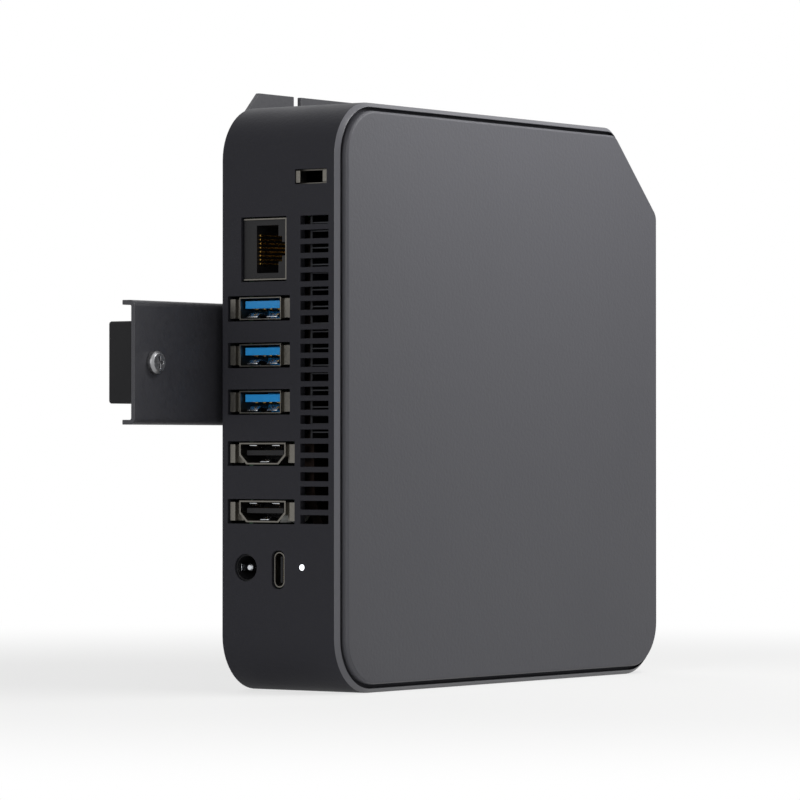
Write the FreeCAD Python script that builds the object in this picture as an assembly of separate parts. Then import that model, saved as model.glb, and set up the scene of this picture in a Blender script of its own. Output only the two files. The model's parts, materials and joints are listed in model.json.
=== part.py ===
import FreeCAD, Part
import math
import os

# Small square desktop computer hung on a monitor's back by a folded sheet bracket.
# Every piece is drawn in the case's own frame, in millimetres: x runs from the wall with the
# ports (-x) to the front (+x), y runs across, and z runs from the feet (0) to the lid.
# The whole assembly is then stood upright, so that the lid faces -Y and the bracket's
# back lies on the plane Y = 0, with the origin at the centre of its four mounting holes.

# --- Case ---------------------------------------------------------------------------------
case_side = 148.5
case_height = 40.0
corner_radius = 14.0
facet_leg = 22.0            # how far the cut-off corner runs along each wall
facet_end_radius = 6.0
wall = 2.0
lid_inset = 2.2
lid_thickness = 2.6
lid_rise = 1.5              # how far the lid stands above the shoulder round it
lid_edge_chamfer = 0.5
rim_width = 1.2             # the bevelled rim outside the groove
rim_chamfer = 1.1
deck_thickness = 1.4
base_edge_chamfer = 0.6
base_thickness = 1.4
base_gap = 0.3
fit_gap = 0.3               # a moulded piece in its opening
seat_gap = 0.05             # a screw or pipe in its hole or groove
touch_gap = 0.1             # between two still pieces that pass each other inside the case
past = 1.0                  # how far a cutting shape runs past what it cuts
overlap = 0.2               # how far two shapes of one piece run into each other
smallest_corner = 1.0
base_slot_rows = [-33.0, 34.0]
base_slot_count = 9
base_slot_length = 24.0
base_slot_width = 2.0
base_slot_pitch = 5.0

# --- Feet and the screws inside them --------------------------------------------------------
foot_height = 1.8
foot_radius = 7.0
foot_hole_radius = 3.4
foot_behind_facet = 6.84    # foot centre from the cut-off corner's inner face, along each wall
base_screw_radius = 1.5
base_screw_head_radius = 2.8
base_screw_head_height = 1.4
base_screw_length = 12.0
base_screw_tip_gap = 0.5    # from the screw's tip to the end of its hole
post_radius = 3.0
post_notch = 8.0            # the square hole in the mainboard that a post passes through

# --- Vents in the port wall -----------------------------------------------------------------
vent_count = 22
vent_pitch = 3.57
vent_width = 2.2
vent_height = 8.7
vent_centre_y = 6.9
vent_below_deck = 0.4

# --- Mainboard ------------------------------------------------------------------------------
board_inset = 4.6
board_bottom = 7.4
board_thickness = 1.2
board_screw_radius = 1.4
board_screw_head_radius = 2.6
board_screw_head_height = 1.2
board_screw_length = 5.0
board_screw_tip_gap = 1.5
board_screw_from_front = 16.0
board_screw_from_lower = 9.0
board_screw_y = 30.0
board_screw_x = -50.0
board_boss_width = 5.6

# --- Ports ----------------------------------------------------------------------------------
port_recess = 0.6           # a port's mouth behind the wall's outer face
port_gap = 0.35             # round a port in its cut-out
sheet = 0.3                 # the sheet of a port's shell
usb_long = 13.1
usb_short = 5.7
usb_depth = 14.0
usb_lip = 0.9               # a front socket's flared lip, at each end of its mouth
port_sink = 1.4             # how deep the rear USB and HDMI sockets are let into the mainboard
ear_gap = 1.3               # from a rear socket's shell to the earthing ear at each end
ear_width = 1.6
ear_inset = 0.4             # an ear is this much shorter than its shell on each side
ear_depth = 1.8
tongue_margin = 0.05        # round a plastic holder in its shell
usb_tongue_long = 11.4
usb_tongue_short = 1.9
usb_tongue_offset = 1.0
usb_tongue_recess = 1.4
usb_holder_depth = 2.0
usb_rear_ys = [22.5, 10.7, -1.1]
usb_front_ys = [-10.0, -28.0]
hdmi_long = 14.6
hdmi_short = 5.5
hdmi_bevel = 2.2
hdmi_depth = 11.5
hdmi_tongue_long = 11.6
hdmi_tongue_short = 1.3
hdmi_tongue_offset = 0.2
hdmi_tongue_recess = 1.2
hdmi_holder_depth = 1.5
hdmi_sheet = 0.4
hdmi_ys = [-14.1, -28.7]
lan_y = 37.4
lan_width = 15.6
lan_height = 13.5
lan_depth = 17.0
lan_sheet = 0.4
lan_insert_recess = 0.2
lan_mouth_width = 12.0
lan_mouth_height = 6.8
lan_mouth_floor = 4.0       # from the board up to the mouth
lan_mouth_depth = 12.5
lan_latch_widths = [6.4, 3.4]
lan_latch_rise = 1.15
dc_y = -42.9
dc_z = 9.7
dc_width = 9.0
dc_height = 9.6
dc_depth = 13.0
dc_hole_radius = 3.1
dc_hole_depth = 10.0
dc_pin_radius = 0.9
dc_pin_recess = 1.0
dc_pin_edge = 0.3
dc_pin_seat = 0.5           # how deep the pin stands in the block behind the hole
dc_nose_wall = 0.25
dc_ear_reach = 2.0
dc_ear_height = 1.0
dc_ear_from_wall = 3.0
usb_c_y = -43.3
usb_c_z = 19.9
usb_c_long = 8.94
usb_c_short = 3.26
usb_c_depth = 8.0
usb_c_tongue_long = 6.6
usb_c_tongue_short = 0.7
usb_c_tongue_recess = 1.0
usb_c_holder_depth = 1.0
usb_c_holder_corner = 1.2
usb_c_roundness_gap = 0.01  # keeps a shell's ends from being exact half circles
usb_c_board_from_wall = 0.5
usb_c_board_thickness = 1.0
usb_c_board_depth = 22.0
usb_c_board_half_width = 8.0
usb_c_board_post_gap = 0.7
usb_c_header_margin = 1.0
usb_c_header_length = 5.0
led_y = -42.6
led_z = 27.3
led_radius = 0.75
led_recess = 0.1
led_leg_width = 2.0
led_leg_behind_port = 8.0   # the light pipe's leg, from the port wall plus the USB-C port's depth
led_lamp_height = 0.4
led_lamp_side = 1.6
lock_inset = 18.95          # slot centre from the case's upper wall
lock_z = 30.1
lock_long = 7.0
lock_short = 3.0
lock_plate_long = 11.0
lock_plate_short = 9.0
lock_plate_thickness = 1.0
lock_tab = 1.4
lock_tab_recess = 0.3
audio_y = -44.0
audio_bore_radius = 1.8
audio_width = 6.4
audio_height = 5.4
audio_depth = 12.5
audio_collar_radius = 2.7
audio_back_wall = 1.0
card_y = 12.0
card_width = 14.0
card_depth = 15.0
card_height = 1.9
card_slot_width = 11.4
card_slot_height = 0.9
card_recess = 0.2
card_back_wall = 1.0

# --- Power button in the cut-off corner -------------------------------------------------------
button_travel = 0.5
button_half_width = 12.0
button_sill = 4.8           # the cap's lower edge
button_top_gap = 0.3        # under the lid
button_flange_gap = 0.1     # between the flange and the wall it catches on
button_flange = 1.2
button_flange_reach = 1.2
button_stem_radius = 2.2
button_stem_length = 0.7
button_edge_radius = 0.4
button_z = 18.0
plunger_radius = 1.5
plunger_length = 2.2
plunger_gap = 0.1
plunger_reach = 0.9         # how far the plunger stands out of its switch
switch_side = 6.0
switch_depth = 2.6
switch_board_thickness = 1.0
switch_board_half_width = 8.0
switch_board_height = 16.0

# --- Cooling ----------------------------------------------------------------------------------
blower_x = 12.0
blower_y = 17.5
blower_radius = 27.0        # outside of the round wall
blower_wall = 1.2
blower_floor = 1.0
blower_cover_thickness = 0.8
blower_height = 9.0
blower_top_gap = 0.6
blower_inlet_radius = 15.0
blower_leg_radius = 2.2
blower_ear_radius = 4.0
blower_leg_back = 22.0      # the two side legs, from the rotor's axis towards the ports
rotor_tip_gap = 3.8
rotor_hub_radius = 9.0
rotor_root = 1.0            # how deep a blade runs into the hub
rotor_disc_inset = 2.0
rotor_bore_end = 0.5
shaft_end_gap = 1.0
rotor_disc_thickness = 0.8
rotor_blade_count = 19
rotor_blade_thickness = 0.8
rotor_blade_sweep = 28.0    # degrees from root to tip
rotor_running_gap = 0.6
shaft_radius = 1.2
shaft_gap = 0.05
fin_depth = 11.0
fin_from_wall = 0.8
fin_thickness = 0.3
fin_count = 28
fin_base = 0.6
fin_above_floor = 0.6        # the fins' base strip over the blower's floor
fin_end_margin = 1.5
pipe_width = 8.0
pipe_thickness = 3.0
pipe_bend_radius = 16.0
pipe_lane_y = -36.0
pipe_slope_start_x = -26.0
pipe_slope_end_x = -4.0
pipe_slope_radius = 6.0
pipe_slope_shift = 1.0      # of the upper face's bends, so that the pipe keeps its thickness
pipe_end_x = 40.0
processor_x = 22.0
processor_length = 36.0
processor_width = 26.0
processor_thickness = 1.3
die_length = 18.0
die_width = 10.0
die_thickness = 0.6
cold_plate_length = 40.0
cold_plate_width = 30.0
cold_plate_thickness = 4.0

# --- Cards and cell under the mainboard -------------------------------------------------------
memory_x = -5.0
memory_ys = [-49.0, -17.0]
memory_length = 67.6
memory_width = 30.0
memory_thickness = 1.0
memory_chip = 1.0
memory_chip_length = 12.0
memory_chip_width = 11.0
memory_chip_count = 4
memory_socket_length = 70.0
memory_socket_width = 7.0
memory_socket_height = 4.0
memory_arm = 1.6
memory_chip_offset = 2.0
memory_socket_behind = 2.0
card_board_thickness = 0.8
card_socket_height = 3.2
card_socket_width = 6.0
card_key_width = 21.5
card_drop = 1.6             # card under the mainboard
card_socket_behind = 3.0
card_chip_width = 14.0
card_chip_height = 1.0
ssd_chips = [(12.0, 12.0), (30.0, 16.0), (52.0, 16.0)]      # start and length along the card
wifi_chips = [(8.0, 14.0)]
ssd_x = -42.0
ssd_y = 23.0
ssd_length = 80.0
ssd_width = 22.0
ssd_screw_radius = 1.3
ssd_screw_head_radius = 2.4
ssd_screw_head_height = 0.8
ssd_screw_edge = 0.2
card_standoff_radius = 2.5
wifi_x = -42.0
wifi_y = 49.0
wifi_length = 30.0
cell_x = 34.0
cell_y = 50.0
cell_radius = 10.0
cell_thickness = 3.0
cell_holder_wall = 1.0
cell_holder_floor = 0.6
cell_holder_height = 2.6
antenna_length = 34.0
antenna_width = 8.0
antenna_thickness = 0.4
antenna_from_wall = 8.0

# --- Bracket ----------------------------------------------------------------------------------
plate = 1.2
bracket_depth = 8.3         # deck's front face from the monitor
bend_radius = 1.0
case_below_holes = 20.8     # case centre under the centre of the four holes
hole_spacing = 100.0
hole_radius = 2.25
deck_half_width = 45.0
deck_low_y = -18.0
deck_high_y = 54.0
flange_half_width = 57.0
flange_top_y = 79.5
flange_low_y = -41.0
flange_corner = 10.5
flange_trim = 3.0           # past the deck's folds
trim_step = 0.001           # keeps two trims from sharing a face with the sheet
notch_x = 30.0
notch_width = 3.0
notch_depth = 6.0
arm_reach = 32.6            # past the port wall
arm_width = 31.0
arm_y = 8.6
arm_edge = 4.0              # depth of its folded edges
arm_bend_radius = 0.5
spacer_length = 14.85
spacer_width = 20.5
spacer_corner = 0.8
spacer_screw_inset = 7.6
spacer_screw_radius = 1.5
spacer_screw_head_radius = 2.9
spacer_screw_head_height = 1.9
spacer_screw_edge = 0.6
spacer_screw_tip_gap = 0.4
spacer_screw_recess = 1.0
spacer_screw_cross = 3.0
spacer_screw_cross_width = 0.7
spacer_screw_length = 6.0
lift_travel = 9.0
keyhole_x = 34.0
keyhole_y = 6.0
keyhole_head_radius = 4.5
keyhole_gap = 0.25
shoulder_neck_radius = 2.0
shoulder_head_radius = 4.0
shoulder_head_height = 1.5
shoulder_head_gap = 0.2
shoulder_collar_radius = 3.2
shoulder_collar_gap = 0.2
shoulder_thread_radius = 1.5
shoulder_boss_radius = 3.6
shoulder_boss_height = 2.8

# --- Places worked out from the sizes above ---------------------------------------------------
half = case_side / 2
inner = half - wall
rim_top = case_height - lid_rise
deck_top = case_height - lid_thickness
deck_bottom = deck_top - deck_thickness
base_top = foot_height + base_thickness
board_top = board_bottom + board_thickness
button_cap_depth = wall + button_flange_gap
rotor_radius = blower_radius - blower_wall - rotor_tip_gap
foot_at = half - facet_leg / 2 - wall / math.sqrt(2) - foot_behind_facet
foot_centres = [(sx * foot_at, sy * foot_at) for sx in (-1, 1) for sy in (-1, 1)]
vent_top = deck_bottom - vent_below_deck
vent_bottom = vent_top - vent_height
usb_z = board_top - port_sink + usb_long / 2
hdmi_z = board_top - port_sink + hdmi_long / 2
lock_y = half - lock_inset
blower_top = deck_bottom - blower_top_gap
blower_bottom = blower_top - blower_height
fin_x0 = -inner + fin_from_wall
fin_x1 = fin_x0 + fin_depth
fin_half_span = blower_radius + fin_end_margin
fin_bottom = blower_bottom + blower_floor + fin_above_floor
cold_plate_bottom = board_top + processor_thickness + die_thickness
led_leg_x = -half + usb_c_depth + led_leg_behind_port
board_screws_at = [
    (half - board_screw_from_front, board_screw_y),
    (board_screw_x, -half + board_screw_from_lower),
]


# --- Small helpers ----------------------------------------------------------------------------
def vec(x, y, z):
    return FreeCAD.Vector(x, y, z)


def block(xs, ys, zs):
    """A box between two limits on each axis."""
    return Part.makeBox(xs[1] - xs[0], ys[1] - ys[0], zs[1] - zs[0], vec(xs[0], ys[0], zs[0]))


def around(centre, width):
    """The two limits of a width about its centre."""
    return (centre - width / 2, centre + width / 2)


def rod(radius, start, axis, length):
    return Part.makeCylinder(radius, length, vec(*start), vec(*axis))


def hexagon(radius, x, y, z, height):
    """A six-sided bar standing on a point."""
    corners = []
    for i in range(6):
        angle = math.pi * i / 3
        corners.append((x + radius * math.cos(angle), y + radius * math.sin(angle), 0))
    return prism(corners, "z", z, z + height)


def rounded_wire(corners):
    """A closed wire through (point, radius) corners, each rounded by its radius."""
    arcs = []
    for i, (point, radius) in enumerate(corners):
        back = (corners[i - 1][0] - point).normalize()
        ahead = (corners[(i + 1) % len(corners)][0] - point).normalize()
        if radius <= 0:
            arcs.append((point, None, point))
            continue
        half_angle = back.getAngle(ahead) / 2
        run = radius / math.tan(half_angle)
        middle = (back + ahead).normalize() * (radius / math.sin(half_angle) - radius)
        arcs.append((point + back * run, point + middle, point + ahead * run))
    edges = []
    for i, (start, middle, end) in enumerate(arcs):
        before = arcs[i - 1][2]
        if (start - before).Length > 1e-6:
            edges.append(Part.LineSegment(before, start).toShape())
        if middle is not None:
            edges.append(Part.Arc(start, middle, end).toShape())
    return Part.Wire(edges)


def prism(corners, axis, start, end):
    """A rounded outline of (a, b, radius) corners, extruded along x, y or z."""
    place = {
        "x": lambda a, b: vec(start, a, b),
        "y": lambda a, b: vec(a, start, b),
        "z": lambda a, b: vec(a, b, start),
    }[axis]
    run = {"x": vec(end - start, 0, 0), "y": vec(0, end - start, 0), "z": vec(0, 0, end - start)}[axis]
    wire = rounded_wire([(place(a, b), radius) for a, b, radius in corners])
    return Part.Face(wire).extrude(run)


def rounded_box(xs, ys, zs, axis, radius):
    """A box whose four edges along one axis are rounded."""
    limits = {"x": (ys, zs, xs), "y": (xs, zs, ys), "z": (xs, ys, zs)}[axis]
    across, up, along = limits
    corners = [(across[i], up[j], radius) for i, j in ((0, 0), (1, 0), (1, 1), (0, 1))]
    return prism(corners, axis, along[0], along[1])


def edges_at_height(shape, z):
    """The edges of a shape that lie in one level plane."""
    return [edge for edge in shape.Edges if all(abs(v.Point.z - z) < 1e-6 for v in edge.Vertexes)]


def fused(pieces):
    """One solid from pieces that meet."""
    return pieces[0].fuse(pieces[1:]).removeSplitter()


def cut(shape, tools):
    return shape.cut(tools)


def group(pieces):
    """Separate solids kept together in one node."""
    return Part.makeCompound(pieces)


# --- Case outline -----------------------------------------------------------------------------
def case_slab(inset, z0, z1):
    """The case's plan, drawn in by an inset: three round corners and one cut off at 45 degrees."""
    edge = half - inset
    leg = facet_leg - inset * (2 - math.sqrt(2))
    corner = max(corner_radius - inset, smallest_corner)
    facet_end = max(facet_end_radius - inset, smallest_corner)
    corners = [
        (-edge, -edge, corner),
        (edge, -edge, corner),
        (edge, edge - leg, facet_end),
        (edge - leg, edge, facet_end),
        (-edge, edge, corner),
    ]
    return prism(corners, "z", z0, z1)


def at_facet(shape):
    """Moves a piece from the facet's frame (x out of it, y along it) to the case's."""
    middle = half - facet_leg / 2
    shape.Placement = FreeCAD.Placement(vec(middle, middle, 0), FreeCAD.Rotation(vec(0, 0, 1), 45))
    return shape


# --- Lid, housing and base --------------------------------------------------------------------
def lid_plate():
    lid = case_slab(lid_inset, deck_top, case_height)
    return lid.makeChamfer(lid_edge_chamfer, edges_at_height(lid, case_height))


def vent_slots():
    """The row of slots through the port wall."""
    first = vent_centre_y - (vent_count - 1) * vent_pitch / 2
    slots = []
    for i in range(vent_count):
        ys = around(first + i * vent_pitch, vent_width)
        slots.append(block((-half - past, -inner + past), ys, (vent_bottom, vent_top)))
    return slots


def rear_cut(y, z, width, height):
    """A port's cut-out in the port wall, larger than the port by the port gap."""
    xs = (-half - past, -inner + past)
    return block(xs, around(y, width + 2 * port_gap), around(z, height + 2 * port_gap))


def front_cut(y, z, width, height):
    xs = (inner - past, half + past)
    return block(xs, around(y, width + 2 * port_gap), around(z, height + 2 * port_gap))


def port_cuts():
    """Every opening that a port shows through."""
    ears = 2 * (ear_gap + ear_width)
    cuts = [rear_cut(y, usb_z, usb_short, usb_long + ears) for y in usb_rear_ys]
    cuts += [rear_cut(y, hdmi_z, hdmi_short, hdmi_long + ears) for y in hdmi_ys]
    cuts.append(rear_cut(lan_y, board_top + lan_height / 2, lan_width, lan_height))
    cuts.append(rounded_box((-half - past, -inner + past), around(usb_c_y, usb_c_long + 2 * port_gap),
                            around(usb_c_z, usb_c_short + 2 * port_gap), "x", usb_c_short / 2))
    through = wall + 2 * past
    cuts.append(rod(dc_hole_radius + port_gap, (-half - past, dc_y, dc_z), (1, 0, 0), through))
    cuts.append(rod(led_radius + seat_gap, (-half - past, led_y, led_z), (1, 0, 0), through))
    cuts.append(rear_cut(lock_y, lock_z, lock_short, lock_long + 2 * lock_tab - 2 * port_gap))
    cuts += [front_cut(y, board_top + usb_short / 2, usb_long + 2 * usb_lip, usb_short)
             for y in usb_front_ys]
    cuts.append(front_cut(card_y, board_top + card_height / 2, card_slot_width, card_slot_height))
    audio_z = board_top + audio_height / 2
    cuts.append(rod(audio_collar_radius + port_gap, (inner - past, audio_y, audio_z), (1, 0, 0), through))
    return cuts


def button_opening():
    """The gap in the facet's wall and in the deck behind it, which the button moves in."""
    depth = button_cap_depth + button_travel + 2 * fit_gap
    width = 2 * (button_half_width + fit_gap)
    zs = (button_sill - fit_gap, rim_top + past)
    return at_facet(block((-depth, facet_end_radius), around(0, width), zs))


def housing_shell():
    """The four walls and the cut-off corner, with a ledge inside the rim for the deck."""
    outer = case_slab(0, foot_height, rim_top)
    outer = outer.makeChamfer(rim_chamfer, edges_at_height(outer, rim_top))
    outer = outer.makeChamfer(base_edge_chamfer, edges_at_height(outer, foot_height))
    cavity = case_slab(wall, foot_height - past, deck_bottom + past)
    recess = case_slab(rim_width, deck_bottom, rim_top + past)
    return cut(outer, [cavity, recess] + vent_slots() + port_cuts() + [button_opening()])


def deck_plate():
    """The panel under the lid, pressed on the ledge inside the rim."""
    deck = case_slab(rim_width + seat_gap, deck_bottom, deck_top)
    return cut(deck, [button_opening()])


def deck_posts():
    """The posts under the deck: four for the base's screws and two for the mainboard's."""
    posts = []
    for x, y in foot_centres:
        post = rod(post_radius, (x, y, base_top), (0, 0, 1), deck_bottom - base_top)
        hole = rod(base_screw_radius + seat_gap, (x, y, base_top - past), (0, 0, 1), base_screw_length)
        posts.append(cut(post, [hole]))
    for x, y in board_screws_at:
        post = block(around(x, board_boss_width), around(y, board_boss_width), (board_top, deck_bottom))
        hole = rod(board_screw_radius + seat_gap, (x, y, board_top - past), (0, 0, 1), board_screw_length)
        posts.append(cut(post, [hole]))
    return group(posts)


def base_cover():
    """The bottom plate, with slots under the cards and bosses for the two shoulder screws."""
    cover = case_slab(wall + base_gap, foot_height, base_top)
    bosses = []
    tools = []
    for side in (-1, 1):
        x = side * keyhole_x
        bosses.append(rod(shoulder_boss_radius, (x, keyhole_y, base_top), (0, 0, 1), shoulder_boss_height))
        tools.append(rod(shoulder_thread_radius + seat_gap, (x, keyhole_y, 0), (0, 0, 1), board_bottom))
    for x, y in foot_centres:
        tools.append(rod(base_screw_radius + seat_gap, (x, y, 0), (0, 0, 1), board_bottom))
    for row_y in base_slot_rows:
        for i in range(base_slot_count):
            x = (i - (base_slot_count - 1) / 2) * base_slot_pitch
            ys = around(row_y, base_slot_length)
            tools.append(block(around(x, base_slot_width), ys, (0, board_bottom)))
    return cut(fused([cover] + bosses), tools)


def rubber_feet():
    feet = []
    for x, y in foot_centres:
        foot = rod(foot_radius, (x, y, 0), (0, 0, 1), foot_height)
        feet.append(cut(foot, [rod(foot_hole_radius, (x, y, -1), (0, 0, 1), foot_height + 2)]))
    return group(feet)


def screw(x, y, z, head_radius, head_height, radius, length):
    """A screw driven upwards: its head hangs below z and its shank stands above."""
    head = rod(head_radius, (x, y, z - head_height), (0, 0, 1), head_height)
    return fused([head, rod(radius, (x, y, z), (0, 0, 1), length)])


def base_screws():
    screws = []
    for x, y in foot_centres:
        screws.append(screw(x, y, foot_height, base_screw_head_radius, base_screw_head_height,
                            base_screw_radius, base_screw_length - base_screw_tip_gap))
    return group(screws)


# --- Power button -----------------------------------------------------------------------------
def power_button():
    """A cap that fills the facet, a flange that keeps it in, and a stem to the switch."""
    cap_top = deck_top - button_top_gap
    cap = block((-button_cap_depth, 0), around(0, 2 * button_half_width), (button_sill, cap_top))
    outer_edges = [edge for edge in cap.Edges if all(abs(v.Point.x) < 1e-6 for v in edge.Vertexes)]
    cap = cap.makeFillet(button_edge_radius, outer_edges)
    flange_back = -button_cap_depth - button_flange
    flange_zs = (button_sill - button_flange_reach, deck_bottom - fit_gap)
    flange_width = 2 * (button_half_width + button_flange_reach)
    flange = block((flange_back, -button_cap_depth), around(0, flange_width), flange_zs)
    stem = rod(button_stem_radius, (flange_back - button_stem_length, 0, button_z), (1, 0, 0),
               button_stem_length + overlap)
    return at_facet(fused([cap, flange, stem]))


def plunger_front():
    """Where the switch's plunger starts, behind the button's stem."""
    return -button_cap_depth - button_flange - button_stem_length - plunger_gap


def switch_plunger():
    start = plunger_front() - plunger_length
    return at_facet(rod(plunger_radius, (start, 0, button_z), (1, 0, 0), plunger_length))


def power_switch_board():
    """A small board standing on the mainboard, with the switch's body on its face."""
    front = plunger_front() - plunger_reach
    back = front - switch_depth
    body = block((back, front), around(0, switch_side), around(button_z, switch_side))
    well_depth = plunger_length + button_travel + plunger_gap
    well = rod(plunger_radius + plunger_gap, (plunger_front() - well_depth, 0, button_z), (1, 0, 0), well_depth)
    board_zs = (board_top, board_top + switch_board_height)
    board = block((back - switch_board_thickness, back), around(0, 2 * switch_board_half_width), board_zs)
    return at_facet(cut(fused([body, board]), [well]))


# --- Mainboard --------------------------------------------------------------------------------
def mainboard():
    board = case_slab(board_inset, board_bottom, board_top)
    tools = []
    for x, y in foot_centres:
        tools.append(block(around(x, post_notch), around(y, post_notch), (0, board_top + past)))
    for x, y in board_screws_at:
        tools.append(rod(board_screw_radius + seat_gap, (x, y, 0), (0, 0, 1), board_top + past))
    notch_end = -half + port_recess + dc_depth + fit_gap
    tools.append(block((-half, notch_end), around(dc_y, dc_width + 2 * fit_gap), (0, board_top + past)))
    for ys, short, depth in ((usb_rear_ys, usb_short, usb_depth), (hdmi_ys, hdmi_short, hdmi_depth)):
        for y in ys:
            tools.append(block((-half, -half + port_recess + depth), around(y, short), (0, board_top + past)))
    facet_clear = button_cap_depth + button_flange + button_travel + fit_gap
    flange_width = 2 * (button_half_width + button_flange_reach + fit_gap)
    tools.append(at_facet(block((-facet_clear, facet_leg), around(0, flange_width), (0, board_top + past))))
    return cut(board, tools)


def board_screws():
    screws = []
    for x, y in board_screws_at:
        screws.append(screw(x, y, board_bottom, board_screw_head_radius, board_screw_head_height,
                            board_screw_radius, board_thickness + board_screw_length - board_screw_tip_gap))
    return group(screws)


# --- Ports ------------------------------------------------------------------------------------
def rear_port(shape, y, z):
    """Turns a port drawn flat, mouth towards -x, on its side in the port wall."""
    turn = FreeCAD.Rotation(vec(1, 0, 0), -90)
    shape.Placement = FreeCAD.Placement(vec(-half + port_recess, y, z), turn)
    return shape


def front_port(shape, y, z):
    turn = FreeCAD.Rotation(vec(0, 0, 1), 180)
    shape.Placement = FreeCAD.Placement(vec(half - port_recess, y, z), turn)
    return shape


def ears(long, short, gap, width):
    """The two earthing ears of a socket, each on a strip that runs out from the shell's side."""
    pieces = []
    for side in (-1, 1):
        start = side * (long / 2 - sheet)
        near = side * (long / 2 + gap)
        far = side * (long / 2 + gap + width)
        ys = (min(start, far), max(start, far))
        heights = around(0, short - 2 * ear_inset)
        pieces.append(block((ear_depth - sheet, ear_depth), ys, heights))
        pieces.append(block((0, ear_depth), (min(near, far), max(near, far)), heights))
    return pieces


def usb_shell(gap, width):
    """A folded sheet tube, closed at the back, with an ear or a lip at each end of its mouth."""
    outer = block((0, usb_depth), around(0, usb_long), around(0, usb_short))
    space = block((-past, usb_depth - sheet), around(0, usb_long - 2 * sheet), around(0, usb_short - 2 * sheet))
    return cut(fused([outer] + ears(usb_long, usb_short, gap, width)), [space])


def usb_tongue():
    """The plastic tongue and the block that holds it at the back of the shell."""
    back = usb_depth - sheet
    front = back - usb_holder_depth
    margin = sheet + tongue_margin
    tongue = block((usb_tongue_recess, front), around(0, usb_tongue_long),
                   around(usb_tongue_offset, usb_tongue_short))
    holder = block((front, back), around(0, usb_long - 2 * margin), around(0, usb_short - 2 * margin))
    return fused([tongue, holder])


def hdmi_profile(margin):
    """The D-shaped outline: wide side up, drawn in by a margin."""
    wide = hdmi_long / 2 - margin
    top = hdmi_short / 2 - margin
    slope = hdmi_bevel
    return [(-wide, top, 0), (-wide, -top + slope, 0), (-wide + slope, -top, 0),
            (wide - slope, -top, 0), (wide, -top + slope, 0), (wide, top, 0)]


def hdmi_shell():
    outer = prism(hdmi_profile(0), "x", 0, hdmi_depth)
    space = prism(hdmi_profile(hdmi_sheet), "x", -past, hdmi_depth - sheet)
    return cut(fused([outer] + ears(hdmi_long, hdmi_short, ear_gap, ear_width)), [space])


def hdmi_tongue():
    back = hdmi_depth - sheet
    front = back - hdmi_holder_depth
    tongue = block((hdmi_tongue_recess, front), around(0, hdmi_tongue_long),
                   around(hdmi_tongue_offset, hdmi_tongue_short))
    holder = prism(hdmi_profile(hdmi_sheet + tongue_margin), "x", front, back)
    return fused([tongue, holder])


def lan_profile(margin):
    """The jack's mouth with its stepped latch notch, as (y, z) corners."""
    low = board_top + lan_mouth_floor - margin
    high = low + lan_mouth_height + 2 * margin
    widths = [lan_mouth_width] + lan_latch_widths
    corners = [(lan_y - widths[0] / 2 - margin, low, 0)]
    right = []
    for i, width in enumerate(widths):
        left_y = lan_y - width / 2 - margin
        right_y = lan_y + width / 2 + margin
        bottom = high + (i - 1) * lan_latch_rise if i else low
        top = high + i * lan_latch_rise
        if i:
            corners.append((left_y, bottom, 0))
            right.append((right_y, bottom, 0))
        corners.append((left_y, top, 0))
        right.append((right_y, top, 0))
    right.append((lan_y + widths[0] / 2 + margin, low, 0))
    # The right side is walked back down from the notch to the mouth's floor.
    down = sorted(right[:-1], key=lambda corner: (-corner[1], corner[0]))
    return corners + down + [right[-1]]


def lan_jack_shell():
    """The metal can: open at the front and below, over the plastic insert."""
    x0 = -half + port_recess
    can = block((x0, x0 + lan_depth), around(lan_y, lan_width), (board_top, board_top + lan_height))
    space_ys = around(lan_y, lan_width - 2 * lan_sheet)
    space_zs = (board_top - past, board_top + lan_height - lan_sheet)
    return cut(can, [block((x0 - past, x0 + lan_depth - lan_sheet), space_ys, space_zs)])


def lan_jack_insert():
    """The plastic body inside the can, with the mouth that takes the plug."""
    x0 = -half + port_recess
    ys = around(lan_y, lan_width - 2 * (lan_sheet + tongue_margin))
    zs = (board_top, board_top + lan_height - lan_sheet - tongue_margin)
    body = block((x0 + lan_insert_recess, x0 + lan_depth - lan_sheet), ys, zs)
    return cut(body, [prism(lan_profile(0), "x", x0 - past, x0 + lan_mouth_depth)])


def dc_jack_body():
    """The round power inlet's block, let into a notch of the mainboard."""
    x0 = -half + port_recess
    pin_end = dc_pin_recess + dc_hole_depth + dc_pin_seat
    body = block((x0 + wall, x0 + dc_depth), around(dc_y, dc_width), around(dc_z, dc_height))
    nose = rod(dc_hole_radius + dc_nose_wall, (x0, dc_y, dc_z), (1, 0, 0), wall + overlap)
    hole = rod(dc_hole_radius, (x0 - past, dc_y, dc_z), (1, 0, 0), dc_hole_depth + past)
    pin_seat = rod(dc_pin_radius, (x0, dc_y, dc_z), (1, 0, 0), pin_end)
    ear_ys = around(dc_y, dc_width + 2 * dc_ear_reach)
    ear_xs = (x0 + wall + dc_ear_from_wall, x0 + dc_depth)
    dc_ears = block(ear_xs, ear_ys, (board_top, board_top + dc_ear_height))
    return cut(fused([body, nose, dc_ears]), [hole, pin_seat])


def dc_jack_pin():
    tip = -half + port_recess + dc_pin_recess
    pin = rod(dc_pin_radius, (tip, dc_y, dc_z), (1, 0, 0), dc_hole_depth + dc_pin_seat)
    return pin.makeChamfer(dc_pin_edge, [edge for edge in pin.Edges if abs(edge.CenterOfMass.x - tip) < 1e-6])


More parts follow.
